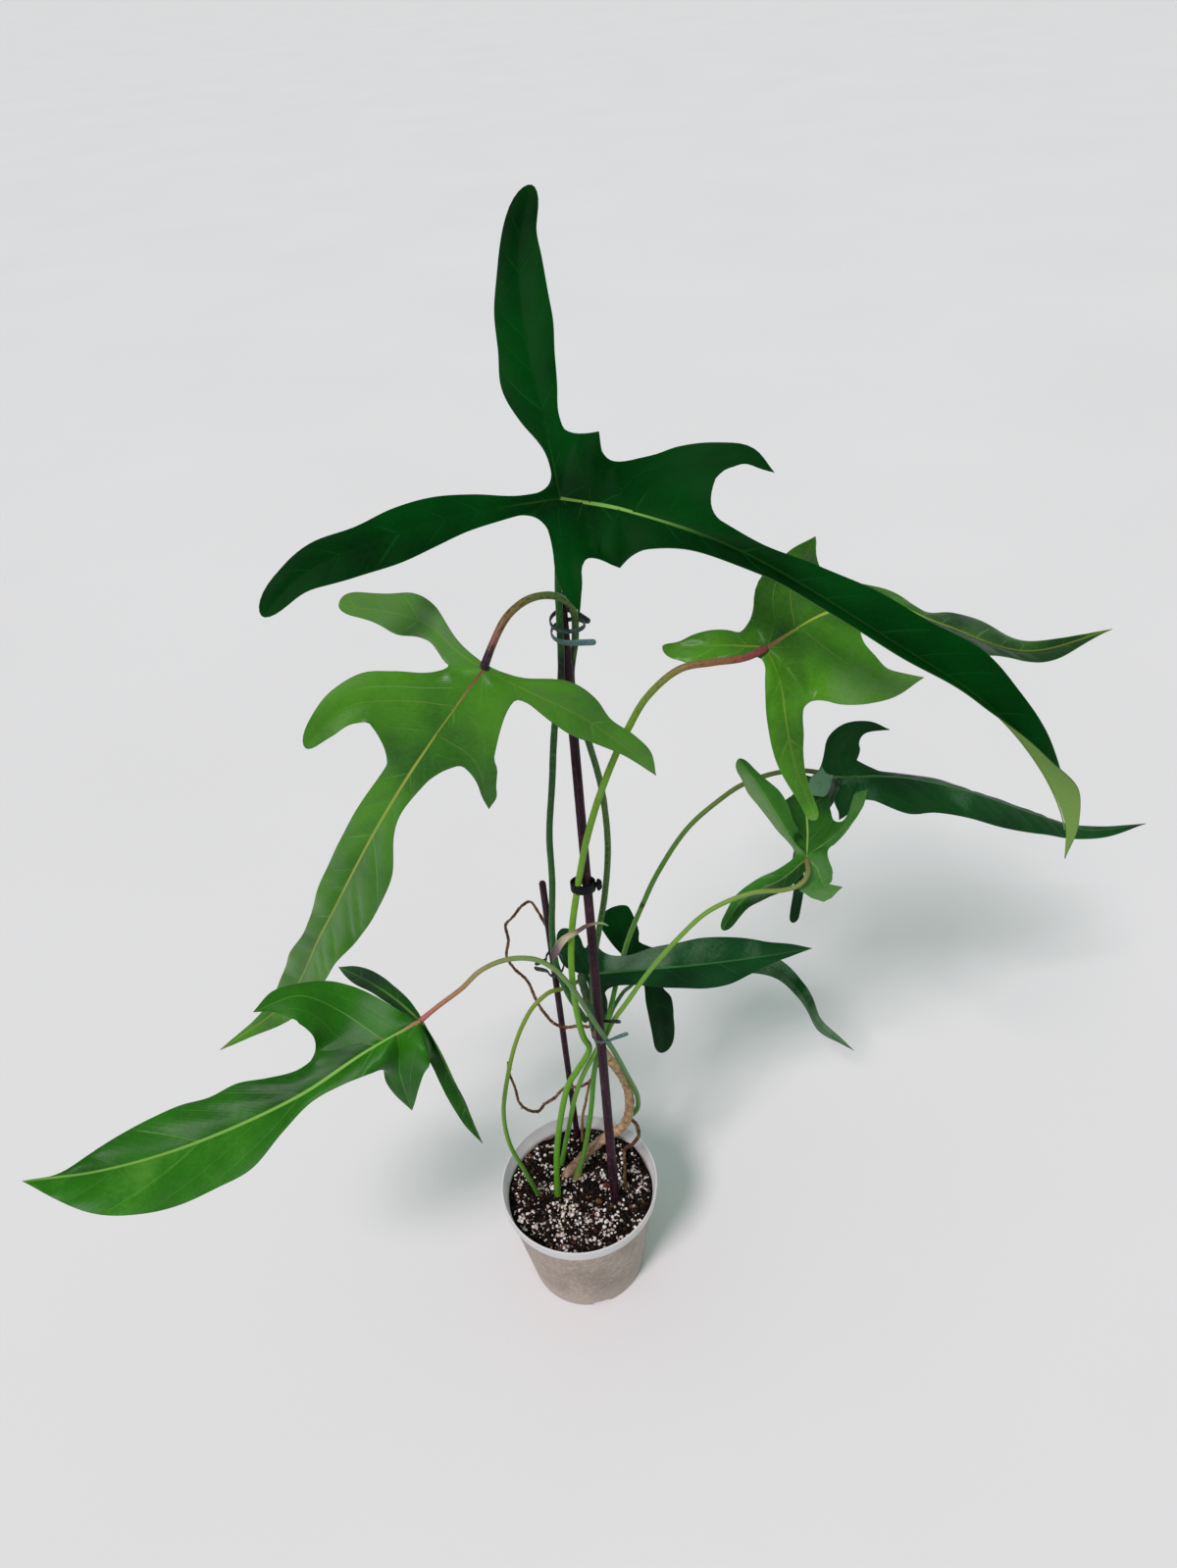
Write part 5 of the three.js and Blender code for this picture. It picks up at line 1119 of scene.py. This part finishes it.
def blade_mesh(key):
    """A blade as a closed body, with the ridges of its ribs below."""
    blade = Blade(key)
    points, faces, *values = blade_body(blade)
    ridge_points, ridge_faces, ridge_veins, ridge_zones = ridges(blade)
    faces += [tuple(v + len(points) for v in face) for face in ridge_faces]
    more = (ridge_veins, ridge_zones, np.ones_like(ridge_zones))
    attributes = [(name, "CORNER", np.vstack([rows, ridge_rows]))
                  for name, rows, ridge_rows in zip(("vein", "zone", "rank"), values, more)]
    return mesh_piece(f"leaf_{key}", np.vstack([points, ridge_points]) + blade.at, faces, leaf_paint(key),
                      attributes, replaces=[f"blade_{key}"])


# Tubes


def skin_stations(total, end, foot, step):
    """Lengths along a tube, and how much of its radius it has there: it closes in a dome at each end."""
    count = max(4, round(total / step))
    cap = [0.0, 0.25, 0.6, 1.0]
    swell = [math.sqrt(1 - (1 - c) ** 2) for c in cap]
    middle = list(np.linspace(end, total - foot, count))
    stations = [end * c for c in cap[:-1]] + middle + [total - foot * c for c in cap[-2::-1]]
    return np.array(stations), swell[:-1] + [1.0] * count + swell[-2::-1]


def tube(points, radius, sides=TUBE_SIDES, step=TUBE_STEP, rough=0.0, grain=6.0, upright=False, shape=None):
    """A round ended tube along a smooth route: points, faces, and for each point its share and bark place.
    radius is a function of the share. rough is how far the skin is uneven, and grain how coarsely.
    shape gives the section's outline as multiples of the radius, where it isn't round."""
    fine = smooth_line(points)
    lengths = lengths_along(fine)
    total = lengths[-1]
    stations, swells = skin_stations(total, radius(0), radius(1), step)
    line = np.array([placed_at(s, lengths, fine) for s in stations])
    tangents = unit(np.gradient(line, stations + np.arange(len(stations)) * 1e-9, axis=0))
    above = np.array([0.0, 0.0, 1.0])
    if upright:
        ups = unit(above - tangents[:, 2:3] * tangents)
    else:
        ups = carried(tangents, above if abs(tangents[0][2]) < 0.9 else np.array([0.0, -1.0, 0.0]))
    section = shape or [(math.cos(turn), math.sin(turn)) for turn in around(sides)]
    sides = len(section)
    made, shares, bark = [], [], []
    for place, tangent, up, station, factor in zip(line, tangents, ups, stations, swells):
        share = station / total
        size = radius(share) * factor
        left = np.cross(up, tangent)
        for x, y in section:
            offset = size * (x * left + y * up)
            if rough and size > 0:
                offset *= 1 + rough * noise.noise(Vector((place + offset) / grain))
            made.append(place + offset)
            shares.append((share, 0, 0))
            bark.append((x * size, y * size, station))
    last = (len(stations) - 1) * sides
    faces = lofted(len(stations), sides)
    faces += [tuple(range(sides))[::-1], tuple(range(last, last + sides))]
    return made, faces, shares, bark


def tube_piece(name, parts, material, node):
    """One piece made of one or more tubes, in place of a node of the frame."""
    made, faces, shares, bark = [], [], [], []
    for part in parts:
        faces += [tuple(v + len(made) for v in face) for face in part[1]]
        made += list(part[0])
        shares += list(part[2])
        bark += list(part[3])
    values = [("share", "POINT", shares), ("bark", "POINT", bark)]
    return mesh_piece(name, made, faces, material, values, crease=60, replaces=[node])


def taper(top, foot, flare=0.0, at=0.05):
    """A radius that runs from one end to the other, and widens by "flare" towards the foot."""
    return lambda share: top + (foot - top) * share + flare * (1 - ease(1 - share, 0, at))


def sunk(spec):
    """A route run on past its last point by the depth that a foot has in the mix, if it stands there."""
    route = [np.array(p, float) for p in spec["points"]]
    if spec.get("soil"):
        route.append(route[-1] + unit(route[-1] - route[-2]) * SINK)
    return route


def stalk(key):
    """A stalk, with a low collar where it meets its blade."""
    spec = STALKS[key]
    at = np.array(LEAVES[key]["at"], float)
    route = [at - unit(LEAVES[key]["faces"]) * 0.5, *sunk(spec)]
    size = taper(*spec["radius"], spec.get("flare", 0), 0.08)
    part = tube(route, lambda share: size(share) + COLLAR * (1 - ease(share, 0, 0.03)), rough=0.05)
    return tube_piece(f"petiole_{key}", [part], stalk_paint(key), f"stalk_{key}")


def stakes():
    stake = bark_paint("stake", "1c0c14", "38202c", "4a2c38", scale=0.5, rough=0.5, lengthways=0.05,
                       reach=0.2, shine=0.1)
    for name in ("stake_tall", "stake_short"):
        part = tube(RODS[name]["points"], taper(*RODS[name]["radius"]), sides=20, step=4, rough=0.02)
        tube_piece(name.replace("stake", "support"), [part], stake, name)


def stem():
    part = tube(sunk(RODS["stem"]), stem_radius, sides=20, step=1.2, rough=0.2, grain=4)
    tube_piece("rooting_stem", [part], stem_paint(), "stem")


def stem_radius(share):
    """The stem's radius, with a low ring at each joint where a leaf once stood."""
    top, foot = RODS["stem"]["radius"]
    rings = sum(math.exp(-(((share - joint) / 0.008) ** 2)) for joint in STEM_JOINTS)
    return top + (foot - top) * share + 0.45 * rings


def roots():
    brown = bark_paint("root", "3f281c", "7c5a40", "a88460", scale=0.5, rough=0.8)
    for name, count in ROOTLETS.items():
        spec = RODS[name]
        main = tube(sunk(spec), taper(*spec["radius"]), sides=9, step=1.6, rough=0.45, grain=2.2)
        parts = [main, *rootlets(spec["points"], count, name)]
        tube_piece(name.replace("root", "aerial_root"), parts, brown, name)


def rootlets(points, count, seed):
    """Short side roots that stick out of a root."""
    dice = random.Random(seed)
    line = smooth_line(points)
    parts = []
    for k in range(count):
        place = line[int(len(line) * (k + 0.5) / count)]
        way = unit([dice.uniform(-1, 1), dice.uniform(-1, 1), dice.uniform(-1, 0.3)])
        bend = np.array([dice.uniform(-1, 1), dice.uniform(-1, 1), -1.0])
        reach = dice.uniform(1.8, 4.2)
        route = [place, place + way * reach * 0.5, place + way * reach + bend * 0.8]
        parts.append(tube(route, taper(0.4, 0.15), sides=6, step=0.8))
    return parts


def dry_stalk():
    spec = RODS["dry_stalk"]
    dry = bark_paint("dry", "7c5c38", "b08c5c", "5a4030", scale=0.4, rough=0.85, lengthways=0.15)
    part = tube(sunk(spec), taper(*spec["radius"]), sides=9, step=2, rough=0.3, grain=3)
    tube_piece("withered_stalk", [part], dry, "dry_stalk")


# Ties, clip and sheath


def corners_cut(half, cut_x, cut_y):
    """The outline of a square with its corners cut off, from its right side on to the left."""
    x, y = half - cut_x, half - cut_y
    return [(half, y), (x, half), (-x, half), (-half, y), (-half, -y), (-x, -half), (x, -half), (half, -y)]


def tie(name):
    """A tie: a ribbed band wound round the stakes and stalks, with a loose end on each side."""
    spec = TIES[name]
    x, y, z = spec["centre"]
    count = round(spec["turns"] * TIE_POINTS)
    route = [spec["tails"][0]]
    for k in range(count + 1):
        turned = TIE_GAP + (360 * spec["turns"] - 2 * TIE_GAP) * k / count
        turn = math.radians(spec["start"] + turned)
        rise = spec["pitch"] * spec["turns"] * (k / count - 0.5)
        route.append((x + spec["half"][0] * math.cos(turn), y + spec["half"][1] * math.sin(turn), z + rise))
    route.append(spec["tails"][1])
    total = lengths_along(smooth_line(route))[-1]

    def half_width(share):
        rib = 0.93 + 0.07 * math.sin(2 * math.pi * share * total / BAND["pitch"])
        return BAND["width"] / 2 * evenly(BAND["wide"], share) * rib

    thin = BAND["thickness"] / BAND["width"]
    section = [(a * thin, b) for a, b in corners_cut(1, 0.3, 0.2)]
    band = tube(route, half_width, step=BAND["step"], upright=True, shape=section)
    return tube_piece(name.replace("tie", "strap"), [band], tie_paint(name), name)


def clip():
    """A spring clip: a closed ring, and two finger grips with round ends."""
    (wide, deep), wall = CLIP["half"], CLIP["wall"]
    turned = Matrix.Rotation(math.radians(CLIP["turn"]), 3, "Z")

    def placed(*place):
        return np.array(CLIP["centre"]) + turned @ Vector(place)

    steps = 40
    section = corners_cut(0.5, 0.08, 0.08)
    points = []
    for turn in around(steps):
        for a, b in section:
            grow = wall / 2 + a * wall
            points.append(placed((wide + grow) * math.cos(turn), (deep + grow) * math.sin(turn),
                                 b * CLIP["height"]))
    quads = [tuple(v % len(points) for v in quad) for quad in lofted(steps + 1, len(section))]
    parts = [(points, [(a, d, c, b) for a, b, c, d in quads], [(0, 0, 0)] * len(points), points)]
    for tilt in (-CLIP["spread"], CLIP["spread"]):
        turn = math.radians(tilt)
        start = placed(wide + 0.4, 0, 0)
        reach = CLIP["grip"] * np.array(turned @ Vector((math.cos(turn), 0, -math.sin(turn))))
        parts.append(tube([start, start + reach * 0.5, start + reach], grip_radius, sides=14, step=0.6))
    return tube_piece("butterfly_clip", parts, clip_paint(), "spring_clip")


def grip_radius(share):
    """A finger grip: a slim arm that ends in a round knob."""
    return 1.0 + 1.4 * math.exp(-(((share - 0.7) / 0.22) ** 2))


def sheath():
    """The dry sheath of a new leaf: a thin trough that closes to a hooked tip."""
    half = SHEATH["width"] / 2
    outer = [(math.cos(t), 0.55 * math.sin(t)) for t in np.linspace(-0.25, math.pi + 0.25, 9)]
    inner = [(0.78 * math.cos(t), 0.34 * math.sin(t)) for t in np.linspace(math.pi + 0.25, -0.25, 9)]
    trough = [(y, x) for x, y in [*outer, *inner]]
    part = tube(SHEATH["points"], lambda share: half * evenly(SHEATH["wide"], share), step=1.2,
                rough=0.15, grain=5, upright=True, shape=trough)
    return tube_piece("cataphyll", [part], sheath_paint(), "sheath")


# The pot and the mix


def pot_outline():
    """From the middle of the floor out, up the outside, over the rim and down the inside."""
    tall, rim, band, step = POT["height"], POT["rim"], POT["band"], POT["step"]
    base, wall, floor = POT["base"], POT["wall"], POT["floor"]
    under, shoulder = tall - band, rim - step - 1
    foot = [(0, 0.6), (base - 6, 0.6), (base - 5, 0), (base - 1.2, 0), (base - 0.3, 0.3), (base, 1.2)]
    outside = [(base + (shoulder - base) * k / 14, 1.2 + (under - 1.2) * k / 14) for k in range(1, 15)]
    lip = [(shoulder + 0.2, under + 0.1), (rim - 1.1, under + 0.3), (rim - 0.8, under + 0.8),
           (rim - 0.45, under + 5), (rim - 0.2, tall - 2), (rim, tall - 1.5), (rim, tall - 0.5),
           (rim - 0.3, tall - 0.1), (rim - 0.7, tall), (rim - wall + 0.1, tall - 0.1),
           (rim - wall, tall - 0.6), (rim - wall - 0.5, under + 2)]
    inside = [(shoulder - wall - (shoulder - base) * k / 10, under - 1 - (under - 1 - floor) * k / 10)
              for k in range(11)]
    return [*foot, *outside, *lip, *inside, (0, floor)]


def in_foot_notch(angle):
    """How far a direction is into one of the notches in the foot, from 0 to 1."""
    between = 360 / FOOT_NOTCHES["count"]
    away = abs((math.degrees(angle) - FOOT_NOTCHES["turn"] + between / 2) % between - between / 2)
    half = math.degrees(FOOT_NOTCHES["width"] / 2 / POT["base"])
    return float(1 - ease(away, half - 1.2, half + 1.2))


def pot():
    outline = pot_outline()
    sides, rings = POT["sides"], len(outline) - 2
    points = []
    for radius, height in outline[1:-1]:
        notched = height < 1.5 and radius > POT["base"] - FOOT_NOTCHES["depth"]
        for angle in around(sides):
            lift = in_foot_notch(angle) * FOOT_NOTCHES["height"] if notched else 0
            points.append((radius * math.cos(angle), radius * math.sin(angle), max(height, lift)))
    faces = lofted(rings, sides)
    bottom, top, last = len(points), len(points) + 1, (rings - 1) * sides
    points += [(0, 0, outline[0][1]), (0, 0, outline[-1][1])]
    for j in range(sides):
        following = (j + 1) % sides
        faces += [(bottom, following, j), (top, last + j, last + following)]
    return mesh_piece("nursery_pot", points, faces, frosted_paint(), crease=35, replaces=["pot"])


def soil_height(x, y):
    """The top of the mix: the same slow swell as its solid, and lumps on it."""
    swell = math.sin(x / 5.3 + y / 9) * math.cos(y / 6.1 - x / 14) + math.sin(x / 11 - y / 7 + 2)
    lumps = noise.noise(Vector((x, y, 0)) / 5) * 1.3 + noise.noise(Vector((x, y, 9)) / 2.2) * 0.8
    return SOIL["top"] + SOIL["bump"] * swell + lumps - 0.8


def wall_inside(z):
    """The radius inside the wall at a height, with a little room."""
    shoulder = POT["rim"] - POT["step"] - 1
    share = (z - POT["floor"]) / (POT["height"] - POT["band"] - POT["floor"])
    return POT["base"] + (shoulder - POT["base"]) * min(share, 1) - POT["wall"] - 0.25


def soil(sides=120, rings=34):
    """The bed of mix: its top in rings from the wall to the middle, its side and its flat underside."""
    top, bottom = wall_inside(SOIL["top"]), POT["floor"] + 0.3
    under = wall_inside(bottom)
    points = []
    for r in range(rings):
        radius = top * (1 - r / rings)
        for angle in around(sides):
            x, y = radius * math.cos(angle), radius * math.sin(angle)
            points.append((x, y, soil_height(x, y) - (0 if r else 0.5)))
    points += [(under * math.cos(angle), under * math.sin(angle), bottom) for angle in around(sides)]
    middle = len(points)
    points += [(0, 0, soil_height(0, 0)), (0, 0, bottom)]
    faces = lofted(rings, sides)
    last, foot = (rings - 1) * sides, rings * sides
    for j in range(sides):
        following = (j + 1) % sides
        faces += [(last + j, last + following, middle), (foot + j, foot + following, following, j),
                  (foot + following, foot + j, middle + 1)]
    return mesh_piece("mix_bed", points, faces, soil_paint(), crease=80, replaces=["soil"])


def round_grain():
    """The 42 points and 80 faces of a round grain."""
    golden = (1 + 5 ** 0.5) / 2
    corners = [(0, s, t * golden) for s in (1, -1) for t in (1, -1)]
    corners = unit([p[k:] + p[:k] for p in corners for k in range(3)])
    near = min(np.linalg.norm(corners[0] - c) for c in corners[1:]) * 1.01
    faces = []
    for a, b, c in combinations(range(12), 3):
        p, q, r = corners[a], corners[b], corners[c]
        if max(np.linalg.norm(side) for side in (p - q, q - r, r - p)) < near:
            outward = np.dot(np.cross(q - p, r - p), p) > 0
            faces.append((a, b, c) if outward else (a, c, b))
    points = list(corners)
    middles = {}

    def middle(a, b):
        key = (min(a, b), max(a, b))
        if key not in middles:
            middles[key] = len(points)
            points.append(unit(points[a] + points[b]))
        return middles[key]

    finer = []
    for a, b, c in faces:
        ab, bc, ca = middle(a, b), middle(b, c), middle(c, a)
        finer += [(a, ab, ca), (b, bc, ab), (c, ca, bc), (ab, bc, ca)]
    return np.array(points), np.array(finer)


def grains(name, spec, material, flat=0.75, sunk_share=0.25, cluster=0.0):
    """Grains strewn over the mix, as one piece. "cluster" is how strongly they gather in patches."""
    dice = np.random.default_rng(spec["seed"])
    ball, triangles = round_grain()
    reach = wall_inside(SOIL["top"]) - 1.5
    low, high = spec["size"]
    points, faces, tones = [], [], []
    while len(points) < spec["count"]:
        radius = reach * math.sqrt(dice.random())
        angle = dice.random() * 2 * math.pi
        x, y = radius * math.cos(angle), radius * math.sin(angle)
        patch = noise.noise(Vector((x, y, spec["seed"])) / 9) - 0.004 * y
        if dice.random() < cluster * (0.5 - patch):
            continue
        size = low + (high - low) * dice.random() ** 2.2
        stretch = np.array([1.0, dice.uniform(0.7, 1.0), dice.uniform(flat * 0.7, flat)])
        turn = np.array(Matrix.Rotation(dice.random() * 6.28, 3, unit(dice.normal(size=3)).tolist()))
        lumpy = ball * (1 + dice.uniform(-0.1, 0.1, (len(ball), 1)))
        grain = (lumpy * stretch * size) @ turn.T
        centre = np.array([x, y, soil_height(x, y) + size * (0.5 - sunk_share) * 0.9])
        faces.append(triangles + len(ball) * len(points))
        points.append(grain + centre)
        tones.append(np.tile([dice.random(), 0, 0], (len(ball), 1)))
    values = [("tone", "POINT", np.vstack(tones))]
    return mesh_piece(name, np.vstack(points), np.vstack(faces), material, values, crease=50)


def mix():
    soil()
    grains("mix_crumbs", CRUMBS, grain_paint("crumbs", CRUMBS["colours"], 0.95, 0.3))
    grains("mix_perlite", PERLITE, grain_paint("perlite", PERLITE["colours"], 0.85, 0.2), 0.85, 0.2, 1.1)
    grains("mix_chips", CHIPS, grain_paint("chips", CHIPS["colours"], 0.9, 0.3), 0.4, 0.1)


# The floor, the lights and the camera


def floor():
    half, low = FLOOR["half"], -FLOOR["sunk"]
    mesh = bpy.data.meshes.new("floor")
    corners = [(-half, -half, low), (half, -half, low), (half, half, low), (-half, half, low)]
    mesh.from_pydata(corners, [], [(0, 1, 2, 3)])
    mesh.materials.append(floor_paint())
    piece = bpy.data.objects.new("floor", mesh)
    bpy.context.scene.collection.objects.link(piece)


def lights():
    """A large soft light from the front left, and an even, slightly green light from all round."""
    world = bpy.data.worlds.new("studio")
    bpy.context.scene.world = world
    world.use_nodes = True
    background = world.node_tree.nodes["Background"]
    background.inputs["Color"].default_value = (*SKY["tone"], 1)
    background.inputs["Strength"].default_value = SKY["strength"]
    data = bpy.data.lights.new("key", "SUN")
    data.angle = math.radians(KEY["angle"])
    data.energy = KEY["strength"]
    data.color = KEY["tone"]
    light = bpy.data.objects.new("key", data)
    light.rotation_mode = "QUATERNION"
    light.rotation_quaternion = Vector(KEY["towards"]).to_track_quat("-Z", "Y")
    bpy.context.scene.collection.objects.link(light)


def camera():
    data = bpy.data.cameras.new("camera")
    data.lens = CAMERA["lens"]
    data.sensor_width = 36
    data.clip_end = 100
    pitch, roll = math.radians(CAMERA["pitch"]), math.radians(CAMERA["roll"])
    forward = np.array([0, math.cos(pitch), -math.sin(pitch)])
    level = np.array([1.0, 0, 0])
    down = np.cross(forward, level)
    right = math.cos(roll) * level + math.sin(roll) * down
    lower = math.cos(roll) * down - math.sin(roll) * level
    matrix = Matrix.Identity(4)
    for row in range(3):
        matrix[row][0] = right[row]
        matrix[row][1] = -lower[row]
        matrix[row][2] = -forward[row]
        matrix[row][3] = CAMERA["at"][row] * MM
    piece = bpy.data.objects.new("camera", data)
    piece.matrix_world = matrix
    bpy.context.scene.collection.objects.link(piece)
    bpy.context.scene.camera = piece


def save_sizes():
    """Brings the placements of all pieces up to date."""
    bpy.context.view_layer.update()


def main():
    bpy.context.scene.view_settings.view_transform = "Standard"
    camera()
    floor()
    lights()
    for key in LEAVES:
        blade_mesh(key)
        stalk(key)
    stakes()
    stem()
    roots()
    dry_stalk()
    for name in TIES:
        tie(name)
    clip()
    sheath()
    pot()
    mix()
    save_sizes()


main()
